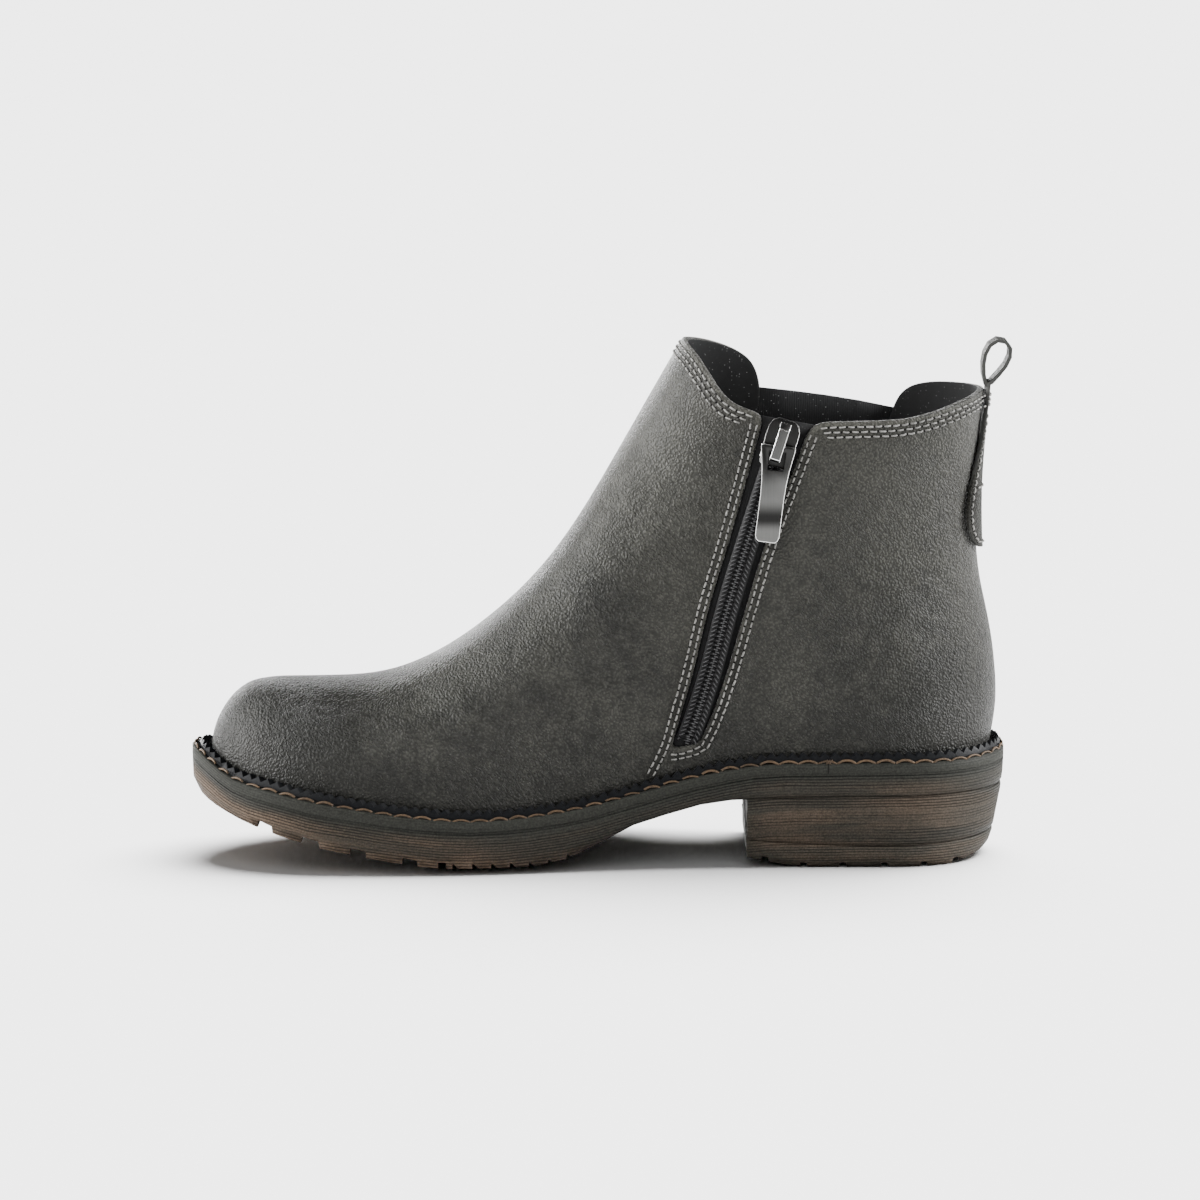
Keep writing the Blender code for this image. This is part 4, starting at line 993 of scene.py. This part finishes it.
def build_upper(sizes, finishes):
    """Leather wall with rounded edges, soft creases, and a tone that holds painted light and shade."""
    bm = merged_node("upper")
    bmesh.ops.join_triangles(bm, faces=bm.faces, angle_face_threshold=math.radians(40),
                             angle_shape_threshold=math.radians(70))
    bm.normal_update()
    tag_walls(bm)
    rims = [e for e in bm.edges if len({f.material_index for f in e.link_faces}) == 2]
    bmesh.ops.bevel(bm, geom=rims, offset=sizes.fold, segments=2, profile=0.5, affect="EDGES", material=-1,
                    clamp_overlap=True)
    obj = add_piece("upper_leather", bm, (finishes.leather, finishes.fold, finishes.lining),
                    replaces=("upper",))
    subdivide(obj, sizes.smoothness)
    edge = top_edge(obj.data)
    tree = KDTree(len(edge))
    for i, point in enumerate(edge):
        tree.insert(point, i)
    tree.balance()
    gaps = np.array([tree.find(v.co)[2] for v in obj.data.vertices]) / MM
    press_creases(obj, ease(gaps, 4.0, 12.0))
    set_attribute(obj, "edge_gap", gaps)
    # The tone holds painted shade above the bead, and the patches with their painted light and shade
    set_attribute(obj, "tone", [tone_with_painted_light(vertex.co) for vertex in obj.data.vertices])
    return obj


# Seams


def corner_place(corner):
    return packed(corner.x, corner.side * CORNER_Y, corner.z)


def stretch_between(loop, start, end, through):
    """Part of a closed loop between two corners, the way that passes nearest a third."""
    def nearest(corner):
        place = corner_place(corner)
        return min(range(len(loop)), key=lambda i: (loop[i] - place).length_squared)

    a, b, c = nearest(start), nearest(end), nearest(through)
    count = len(loop)
    if (c - a) % count < (b - a) % count:
        return [loop[(a + i) % count] for i in range((b - a) % count + 1)]
    return [loop[(a - i) % count] for i in range((a - b) % count + 1)]


def even(points, step):
    """Points at an even step along a line."""
    points = np.array(points)
    length = np.concatenate([[0.0], np.cumsum(np.linalg.norm(np.diff(points, axis=0), axis=1))])
    wanted = np.arange(0.0, length[-1], step)
    columns = [np.interp(wanted, length, points[:, i]) for i in range(3)]
    return [Vector(p) for p in np.stack(columns, axis=1)]


def inset_row(skin, over, edge, inset):
    """Row on the leather at a distance from its edge, laid over whatever is sewn on top."""
    points = even(edge, 0.8 * MM)
    row = []
    for i, point in enumerate(points):
        along = (points[min(i + 3, len(points) - 1)] - points[max(i - 3, 0)]).normalized()
        normal = skin.find_nearest(point)[1]
        across = normal.cross(along).normalized()
        if across.z > 0:
            across = -across
        place, normal, _, _ = skin.find_nearest(point + across * inset)
        hit, top, _, _ = over.ray_cast(place + normal * 6.0 * MM, -normal, 7.0 * MM)
        if hit is not None:
            place, normal = hit, top
        row.append((place, normal))
    return row


def sew(name, rows, pitch, sizes, finishes):
    """Thread along rows, with flat dark discs at the needle holes as painted shade; no two stitches lie quite
    alike.
    """
    rng = random.Random(name)
    width = sizes.thread_width
    stitch = thread_arch(pitch * 0.64, width * 0.75, width)
    bm = bmesh.new()
    # Painted shade of a needle hole: a flat dark disc
    bmesh.ops.create_circle(bm, segments=6, radius=width * 0.62, cap_ends=True)
    hole = mesh_from(bm, "hole")
    thread = bmesh.new()
    holes = bmesh.new()
    for row in rows:
        places = spaced(row, pitch)
        turned = []
        for place in places:
            tilt = Matrix.Rotation(math.radians(rng.uniform(-7, 7)), 4, "Z")
            size = Matrix.Scale(rng.uniform(0.92, 1.06), 4)
            turned.append(place @ Matrix.Translation((0, 0, -0.05 * MM)) @ tilt @ size)
        repeat(thread, stitch, turned)
        step = Matrix.Translation((pitch / 2, 0.0, 0.06 * MM))
        repeat(holes, hole, [place @ step for place in places[:-1]])
    add_piece(name + "_thread", thread, (finishes.thread,))
    add_piece(name + "_holes", holes, (finishes.hole,))
    bpy.data.meshes.remove(stitch)
    bpy.data.meshes.remove(hole)


def seam_rows(upper, loop_piece, sizes):
    """Rows round the collar, beside the zip and round the gore."""
    skin = surface_tree([upper.data], 0)
    over = surface_tree([upper.data, loop_piece.data])
    edge = top_edge(upper.data)
    front = stretch_between(edge, SLOT_FRONT_TOP, GORE_FRONT_TOP, PEAK)
    back = stretch_between(edge, GORE_BACK_TOP, SLOT_BACK_TOP, HEEL_TOP)
    collar = []
    for k in range(3):
        inset = COLLAR_INSET * MM + k * sizes.row_gap
        trim = 2 + 2 * k
        collar.append(inset_row(skin, over, front, inset)[trim:-trim])
        collar.append(inset_row(skin, over, back, inset)[trim:-1 - k])
    slots = []
    for k in range(2):
        aside = SLOT_INSET + k * sizes.row_gap / MM
        hem = [(x + aside * way, z - aside) for (x, z), way in zip(GORE_HEM, (-1, 0, 1))]
        slots += [
            cast_row(skin, side_line((UNDER_BEAD,) + ZIP_FRONT, -aside)[:-8], MEDIAL),
            cast_row(skin, side_line(ZIP_BACK, aside)[:-8], MEDIAL),
            cast_row(skin, side_line(SLOT_FOOT[k]), MEDIAL),
            cast_row(skin, side_line(GORE_FRONT, -aside), LATERAL),
            cast_row(skin, side_line(GORE_BACK, aside), LATERAL),
            cast_row(skin, side_line(hem), LATERAL),
        ]
    return collar, slots


# Gore, zip and metal


def widened(name, reach):
    """Copy of a panel whose side and lower edges run on into the wall that holds it."""
    bm = merged_node(name)
    moves = {}
    for face in bm.faces:
        if abs(face.normal.y) < 0.55 and face.normal.z < 0.8:
            for vert in face.verts:
                moves.setdefault(vert, {})[face.normal.to_tuple(1)] = face.normal.copy()
    for vert, normals in moves.items():
        push = sum(normals.values(), Vector())
        vert.co += push.normalized() * reach
    return bm


def build_gore(finishes):
    """Elastic panel, drawn up to the top edge and into the wall."""
    bm = widened("gore", GORE_RUN_IN * MM)
    top = {vert for face in bm.faces if face.normal.z > 0.8 for vert in face.verts}
    for vert in top:
        vert.co.z += GORE_RISE * MM
    add_piece("gore_panel", bm, (finishes.elastic,), replaces=("gore",), sharp=50)


def coil_places(sizes):
    """Places up the middle of the coil, on its surface, as far as the slider."""
    shares = np.linspace(0.0, 0.93, 60)
    front, back = (np.array([side_at(edge, s) for s in shares]) for edge in (ZIP_FRONT, ZIP_BACK))
    middle = (front + back) / 2
    tree = surface_tree([frame["nodes"]["zip_coil"].data, frame["nodes"]["zip_tape"].data])
    return spaced(cast_row(tree, side_line(middle), MEDIAL), sizes.coil_pitch)


def side_at(points, share):
    """Side-view point at a share of a line's run."""
    line = side_line(points)
    return line[int(round(share * (len(line) - 1)))]


def build_zip(sizes, finishes):
    """Tape, coil with its turns and sewing, slider and pull tab."""
    tape = widened("zip_tape", TAPE_RUN_IN * MM)
    add_piece("zip_tape_cloth", tape, (finishes.tape,), replaces=("zip_tape",), sharp=50)
    coil = merged_node("zip_coil")
    add_piece("zip_coil_bed", coil, (finishes.coil,), replaces=("zip_coil",), sharp=50)
    turn = thread_arch(2.9 * MM, 0.5 * MM, 0.8 * MM)
    head = thread_arch(1.1 * MM, 0.3 * MM, 0.44 * MM, 6, 3)
    stitch = thread_arch(1.9 * MM, 0.4 * MM, 0.36 * MM, 6, 3)
    places = coil_places(sizes)

    def both_rows(name, shape, aside, rise, turn_by, finish):
        """One copy of a shape on each half of every turn, turned by an angle given for each half."""
        bm = bmesh.new()
        for place in places:
            for side in (-1, 1):
                shift = Matrix.Translation((0.25 * side * sizes.coil_pitch, side * aside * MM, rise * MM))
                turned = Matrix.Rotation(math.radians(turn_by(side)), 4, "Z")
                repeat(bm, shape, [place @ shift @ turned])
        add_piece(name, bm, (finish,))

    both_rows("zip_coil_turns", turn, 1.35, 0.0, lambda side: 90 + side * 24, finishes.coil)
    # Painted highlight: pale heads along the middle of the coil
    both_rows("zip_coil_heads", head, 0.35, 0.62, lambda side: 90, finishes.coil_thread_and_highlight)
    both_rows("zip_coil_sewing", stitch, 2.4, 0.3, lambda side: -side * 48, finishes.coil_thread_and_highlight)
    for shape in (turn, head, stitch):
        bpy.data.meshes.remove(shape)
    faces = (finishes.metal, finishes.polished, finishes.dull)
    build_metal("zip_slider", "zip_slider_metal", "boot", faces)
    faces = (finishes.tab_with_painted_reflection, finishes.polished)
    build_metal("zip_pull_tab", "zip_tab_metal", "pull_tab", faces)


def build_metal(node, name, body, faces):
    """Metal piece with bright bevelled rims; a third finish goes on what lies behind the hinge."""
    bm = merged_node(node)
    bmesh.ops.dissolve_limit(bm, angle_limit=math.radians(2), verts=bm.verts, edges=bm.edges)
    corners = [e for e in bm.edges if len(e.link_faces) == 2 and e.calc_face_angle(0.0) > math.radians(40)]
    result = bmesh.ops.bevel(bm, geom=corners, offset=0.32 * MM, segments=2, profile=0.5, affect="EDGES",
                             material=-1, clamp_overlap=True)
    if len(faces) > 2:
        for face in bm.faces:
            face.material_index = 2 if face.calc_center_median().y > HINGE.y else 0
    hang = sum((v.co for v in bm.verts), Vector()) / len(bm.verts) - HINGE
    for face in result["faces"]:
        off = face.calc_center_median() - HINGE
        down = off.dot(hang.normalized())
        inside = abs(off.dot(HINGE_AXIS)) < WINDOW_HALF * MM and 0.4 * MM < down < WINDOW_REACH * MM
        face.material_index = 0 if inside and body == "pull_tab" else 1
    add_piece(name, bm, faces, body=body, replaces=(node,), sharp=30)


# Sole and welt


def sole_attributes(obj):
    """Depth below the top of the welt, and share of brown, for the sole's finish."""
    co = np.array([v.co for v in obj.data.vertices])
    x = co[:, 0] / MM - CENTRING.x
    set_attribute(obj, "depth", (welt_top(x) - co[:, 2] / MM) * MM)
    set_attribute(obj, "brown", table(BROWN, "x", "share", x))


def cover_joint(bm):
    """Draws the strip's lower edge down over the joint with the sole, so that the side shows no gap."""
    for vert in bm.verts:
        deep = welt_top(vert.co.x / MM - CENTRING.x) - vert.co.z / MM
        if deep > STRIP_LOWER_EDGE:
            vert.co.z -= STRIP_DROP * MM
            vert.co.x *= 1.0003
            vert.co.y *= 1.0006


def close_groove(bm):
    """Brings a layer's upper edge up and out, so that the groove above it is only a fine line."""
    bm.normal_update()
    for vert in bm.verts:
        if vert.normal.z > 0.25:
            aside = Vector((vert.normal.x, vert.normal.y, 0.0))
            vert.co += (aside.normalized() + Vector((0.0, 0.0, 1.0))) * GROOVE_CLOSING * MM


def build_sole(finishes):
    """Rubber pieces, which share one finish."""
    for node, slot in (("outsole", "outsole_rubber"), ("heel_block", "heel_rubber"),
                       ("heel_top_lift", "lift_rubber"), ("welt", "welt_rubber")):
        bm = merged_node(node)
        if node == "welt":
            cover_joint(bm)
        if node in ("heel_block", "heel_top_lift"):
            close_groove(bm)
        obj = add_piece(node + "_rubber", bm, (finishes.sole,), replaces=(node,), sharp=38)
        sole_attributes(obj)


def build_bead(sizes, finishes):
    """Black bead whose upper edge is cut into teeth that lean on the leather."""
    per_tooth = 4
    stations = stations_around(BEAD_LINE, sizes.tooth_pitch, per_tooth)
    bm = bmesh.new()
    rings = []
    for i, (share, side) in enumerate(stations):
        tall = 1 - abs((i % per_tooth) - per_tooth / 2) / (per_tooth / 2)
        top = 1.7 + 1.6 * tall
        lean = 0.44 - 0.16 * tall
        section = ((0.0, 0.3, 0.3), (0.52, 0.3, 0.3), (0.50, 0.3, 1.2), (lean, 0.35, top), (0.0, 0.3, top))
        rings.append([bm.verts.new(welt_place(share, side, edge, rise, out)) for edge, out, rise in section])
    for a, b in zip(rings, rings[1:] + rings[:1]):
        for j in range(len(a)):
            k = (j + 1) % len(a)
            bm.faces.new((a[j], a[k], b[k], b[j]))
    bmesh.ops.recalc_face_normals(bm, faces=bm.faces)
    add_piece("welt_bead_teeth", bm, (finishes.bead,), replaces=("welt_bead",), sharp=30)


def build_welt_seam(sizes, finishes):
    """Arched stitches round the welt, with a knot where the strip's ends meet."""
    rng = random.Random(5)
    stitch = thread_arch(sizes.welt_pitch * 0.95, 1.0 * MM, sizes.welt_thread, 7, 8)
    stations = stations_around(WELT_LINE, sizes.welt_pitch)
    bm = bmesh.new()
    places = []
    count = len(stations)
    for i, (share, side) in enumerate(stations):
        point = welt_place(share, side, WELT_LINE, -0.25)
        before = welt_place(*stations[i - 1], WELT_LINE, 0.0)
        after = welt_place(*stations[(i + 1) % count], WELT_LINE, 0.0)
        size = Matrix.Diagonal((1.0, 1.0, rng.uniform(0.8, 1.15), 1.0))
        places.append(place_on(point, after - before, Vector((0.0, 0.0, 1.0))) @ size)
    repeat(bm, stitch, places)
    share = min((s for s, side in stations_around(WELT_LINE, 0.5 * MM) if side == MEDIAL),
                key=lambda s: abs(welt_place(s, MEDIAL, WELT_LINE, 0.0).x - (JOINT_X + 0.4) * MM))
    joint = welt_place(share, MEDIAL, WELT_LINE, 0.2)
    knot = place_on(joint, Vector((1.0, 0.0, 0.0)), Vector((0.0, -1.0, 0.3)))
    for turn, size in ((35.0, 0.45), (-50.0, 0.38), (80.0, 0.3), (10.0, 0.35)):
        repeat(bm, stitch, [knot @ Matrix.Rotation(math.radians(turn), 4, "Z") @ Matrix.Scale(size, 4)])
    add_piece("welt_seam_thread", bm, (finishes.welt_thread,))
    bpy.data.meshes.remove(stitch)


# Heel loop and insole


def build_heel_loop(finishes):
    """Strap with painted cut edges, a rounded tab and rounded turns of the loop."""
    bm = merged_node("pull_loop")
    bmesh.ops.dissolve_limit(bm, angle_limit=math.radians(1), verts=bm.verts, edges=bm.edges)
    for face in bm.faces:
        in_loop = face.calc_center_median().z > LOOP_FOOT * MM
        cut = abs(face.normal.y) > 0.7 if in_loop else abs(face.normal.x) < 0.5
        face.material_index = int(cut)
    rim = []
    for edge in bm.edges:
        low = max(vert.co.z for vert in edge.verts) < TAB_TOP * MM
        kinds = {face.material_index for face in edge.link_faces}
        outer = any(face.material_index == 0 and face.normal.x > 0.5 for face in edge.link_faces)
        if low and kinds == {0, 1} and outer:
            rim.append(edge)
    rounded = bmesh.ops.bevel(bm, geom=rim, offset=1.0 * MM, segments=3, profile=0.5, affect="EDGES",
                              material=-1, clamp_overlap=True)
    for face in rounded["faces"]:
        face.material_index = 0
    turns = []
    for edge in bm.edges:
        run = edge.verts[1].co - edge.verts[0].co
        if min(vert.co.z for vert in edge.verts) > LOOP_FOOT * MM and abs(run.y) > 0.9 * run.length:
            turns.append(edge)
    bmesh.ops.bevel(bm, geom=turns, offset=0.9 * MM, segments=3, profile=0.5, affect="EDGES", material=-1,
                    clamp_overlap=True)
    return add_piece("heel_loop_strap", bm, (finishes.strap, finishes.edge), replaces=("pull_loop",),
                     sharp=45)


def heel_tab_rows(loop_piece):
    """Row just inside the tab's edge, and the row across it."""
    tree = surface_tree([loop_piece.data])

    def on_back(y, z):
        hit, normal, _, _ = tree.ray_cast(packed(170.0, y, z), Vector((-1.0, 0.0, 0.0)))
        return (hit, normal)

    heights = np.linspace(106.0, 148.0, 90)
    halves = table(HEEL_TAB, "z", "half", heights) - TAB_ROW_INSET
    ring = [(-half, z) for half, z in zip(halves[::-1], heights[::-1])]
    turn = np.linspace(0.2, math.pi - 0.2, 14)
    ring += [(-halves[0] * math.cos(a), heights[0] - 1.4 * math.sin(a)) for a in turn]
    ring += [(half, z) for half, z in zip(halves, heights)]
    cross = [(y, TAB_CROSS_ROW) for y in np.linspace(-TAB_CROSS_HALF, TAB_CROSS_HALF, 40)]
    rows = []
    for line in (ring, cross):
        row = [on_back(y, z) for y, z in line]
        rows.append([(p, n) for p, n in row if p is not None])
    return rows


def build_insole(finishes):
    """Cloth sock over the insole board."""
    bm = merged_node("insole")
    add_piece("insole_sock", bm, (finishes.sock,), replaces=("insole",), sharp=40)


# Stage


def put(name, data):
    """Puts a lamp, a camera or the floor into the scene."""
    obj = bpy.data.objects.new(name, data)
    bpy.context.scene.collection.objects.link(obj)
    return obj


def build_floor(stage):
    """Wide pale floor."""
    material, tree, shader = new_finish("pale_floor")
    grain = noise(tree, place_vector(tree), 3.0, 1.0)
    feed(tree, shader, {
        "Base Color": two_tone(tree, grain, stage.floor, 1.0, 0.995),
        "Roughness": 0.9,
        "Specular IOR Level": 0.1,
    })
    bm = bmesh.new()
    bmesh.ops.create_grid(bm, x_segments=2, y_segments=2, size=30.0)
    mesh = mesh_from(bm, "floor")
    mesh.materials.append(material)
    floor = put("floor", mesh)
    return floor


def build_sky(stage):
    """Even studio light: brighter beside the shoe and overhead, and dim behind the camera."""
    world = bpy.data.worlds.new("studio")
    world.use_nodes = True
    bpy.context.scene.world = world
    sky = world.node_tree
    parts = parts_of(sky, add(sky, "ShaderNodeTexCoord").outputs["Generated"])
    beside = spread(sky, maths(sky, "ABSOLUTE", parts[0]), 0.3, 0.85, 1.2, 4.5)
    horizon = spread(sky, parts[1], 0.2, 0.8, 0.03, 0.9)
    zenith = spread(sky, parts[2], 0.4, 0.75, 0.0, 1.6)
    light = times(sky, times(sky, beside, plus(sky, horizon, zenith)), stage.sky)
    feed(sky, sky.nodes["Background"], {"Strength": light})


def build_lamp(spec, floor):
    """Soft sun that lights either the floor alone or all but the floor."""
    light = bpy.data.lights.new(spec.name, "SUN")
    light.energy = spec.energy
    light.angle = math.radians(spec.width)
    lamp = put(spec.name, light)
    turn = math.radians(spec.azimuth)
    rise = math.radians(spec.elevation)
    toward = Vector((math.sin(turn) * math.cos(rise), -math.cos(turn) * math.cos(rise), math.sin(rise)))
    lamp.rotation_euler = toward.to_track_quat("Z", "Y").to_euler()
    lamp.location = toward * 2.0
    reach = bpy.data.collections.new(spec.name + "_reach")
    reach.objects.link(floor)
    lamp.light_linking.receiver_collection = reach
    reach.collection_objects[0].light_linking.link_state = "INCLUDE" if spec.floor else "EXCLUDE"


def build_camera(stage):
    """Camera that looks across the shoe from the inner side, a little from above."""
    camera = bpy.data.cameras.new("camera")
    camera.lens = stage.lens
    camera.sensor_width = 36.0
    camera.clip_end = 100.0
    eye = put("camera", camera)
    back = Vector((0.0, -math.cos(stage.elevation), math.sin(stage.elevation)))
    eye.location = Vector((-0.2 * MM, 0.0, stage.aim_height)) + back * stage.distance
    eye.rotation_euler = back.to_track_quat("Z", "Y").to_euler()
    bpy.context.scene.camera = eye


# Operators and panel

# Finishes and pieces that one operator makes and a later one needs
SHARED = {}


class BOOTIE_OT_upper(bpy.types.Operator):
    """Leather upper with its lining"""

    bl_idname = "bootie.upper"
    bl_label = "Upper and lining"

    def execute(self, context):
        scene = context.scene
        SHARED["finishes"] = Finishes(scene.bootie_colours)
        SHARED["upper"] = build_upper(scene.bootie_sizes, SHARED["finishes"])
        return {"FINISHED"}


class BOOTIE_OT_heel_loop(bpy.types.Operator):
    """Pull loop with its teardrop tab"""

    bl_idname = "bootie.heel_loop"
    bl_label = "Heel loop"

    def execute(self, context):
        SHARED["loop"] = build_heel_loop(SHARED["finishes"])
        return {"FINISHED"}


class BOOTIE_OT_seams(bpy.types.Operator):
    """Thread rows of collar, zip, gore and heel tab"""

    bl_idname = "bootie.seams"
    bl_label = "Seams"

    def execute(self, context):
        sizes = context.scene.bootie_sizes
        collar, slots = seam_rows(SHARED["upper"], SHARED["loop"], sizes)
        sew("collar_seam", collar, sizes.stitch_pitch, sizes, SHARED["finishes"])
        sew("slot_seam", slots, sizes.slot_pitch, sizes, SHARED["finishes"])
        sew("heel_tab_seam", heel_tab_rows(SHARED["loop"]), sizes.slot_pitch, sizes, SHARED["finishes"])
        return {"FINISHED"}


class BOOTIE_OT_gore(bpy.types.Operator):
    """Elastic panel of the outer side"""

    bl_idname = "bootie.gore"
    bl_label = "Gore"

    def execute(self, context):
        build_gore(SHARED["finishes"])
        return {"FINISHED"}


class BOOTIE_OT_zip(bpy.types.Operator):
    """Tape, coil, slider and pull tab"""

    bl_idname = "bootie.zip"
    bl_label = "Zip"

    def execute(self, context):
        build_zip(context.scene.bootie_sizes, SHARED["finishes"])
        return {"FINISHED"}


class BOOTIE_OT_sole(bpy.types.Operator):
    """Outsole, heel, top lift and welt"""

    bl_idname = "bootie.sole"
    bl_label = "Sole"

    def execute(self, context):
        build_sole(SHARED["finishes"])
        return {"FINISHED"}


class BOOTIE_OT_welt_seam(bpy.types.Operator):
    """Toothed bead and the thread of the welt"""

    bl_idname = "bootie.welt_seam"
    bl_label = "Bead and welt seam"

    def execute(self, context):
        build_bead(context.scene.bootie_sizes, SHARED["finishes"])
        build_welt_seam(context.scene.bootie_sizes, SHARED["finishes"])
        return {"FINISHED"}


class BOOTIE_OT_insole(bpy.types.Operator):
    """Cloth insole"""

    bl_idname = "bootie.insole"
    bl_label = "Insole"

    def execute(self, context):
        build_insole(SHARED["finishes"])
        return {"FINISHED"}


class BOOTIE_OT_stage(bpy.types.Operator):
    """Floor, light and camera"""

    bl_idname = "bootie.stage"
    bl_label = "Stage"

    def execute(self, context):
        stage = context.scene.bootie_stage
        floor = build_floor(stage)
        build_sky(stage)
        for spec in LAMPS:
            build_lamp(spec, floor)
        build_camera(stage)
        return {"FINISHED"}


STEPS = (
    BOOTIE_OT_stage, BOOTIE_OT_upper, BOOTIE_OT_heel_loop, BOOTIE_OT_seams, BOOTIE_OT_gore,
    BOOTIE_OT_zip, BOOTIE_OT_sole, BOOTIE_OT_welt_seam, BOOTIE_OT_insole,
)


class BOOTIE_PT_panel(bpy.types.Panel):
    """Lists the steps in their order"""

    bl_label = "Bootie"
    bl_idname = "BOOTIE_PT_panel"
    bl_space_type = "VIEW_3D"
    bl_region_type = "UI"
    bl_category = "Bootie"

    def draw(self, context):
        for step in STEPS:
            self.layout.operator(step.bl_idname)


CLASSES = (BootieSizes, BootieColours, BootieStage) + STEPS + (BOOTIE_PT_panel,)


def register():
    for cls in CLASSES:
        bpy.utils.register_class(cls)
    bpy.types.Scene.bootie_sizes = PointerProperty(type=BootieSizes)
    bpy.types.Scene.bootie_colours = PointerProperty(type=BootieColours)
    bpy.types.Scene.bootie_stage = PointerProperty(type=BootieStage)


def unregister():
    del bpy.types.Scene.bootie_stage
    del bpy.types.Scene.bootie_colours
    del bpy.types.Scene.bootie_sizes
    for cls in reversed(CLASSES):
        bpy.utils.unregister_class(cls)


def main():
    register()
    bpy.ops.bootie.stage()
    bpy.ops.bootie.upper()
    bpy.ops.bootie.heel_loop()
    bpy.ops.bootie.seams()
    bpy.ops.bootie.gore()
    bpy.ops.bootie.zip()
    bpy.ops.bootie.sole()
    bpy.ops.bootie.welt_seam()
    bpy.ops.bootie.insole()


if __name__ == "__main__":
    main()
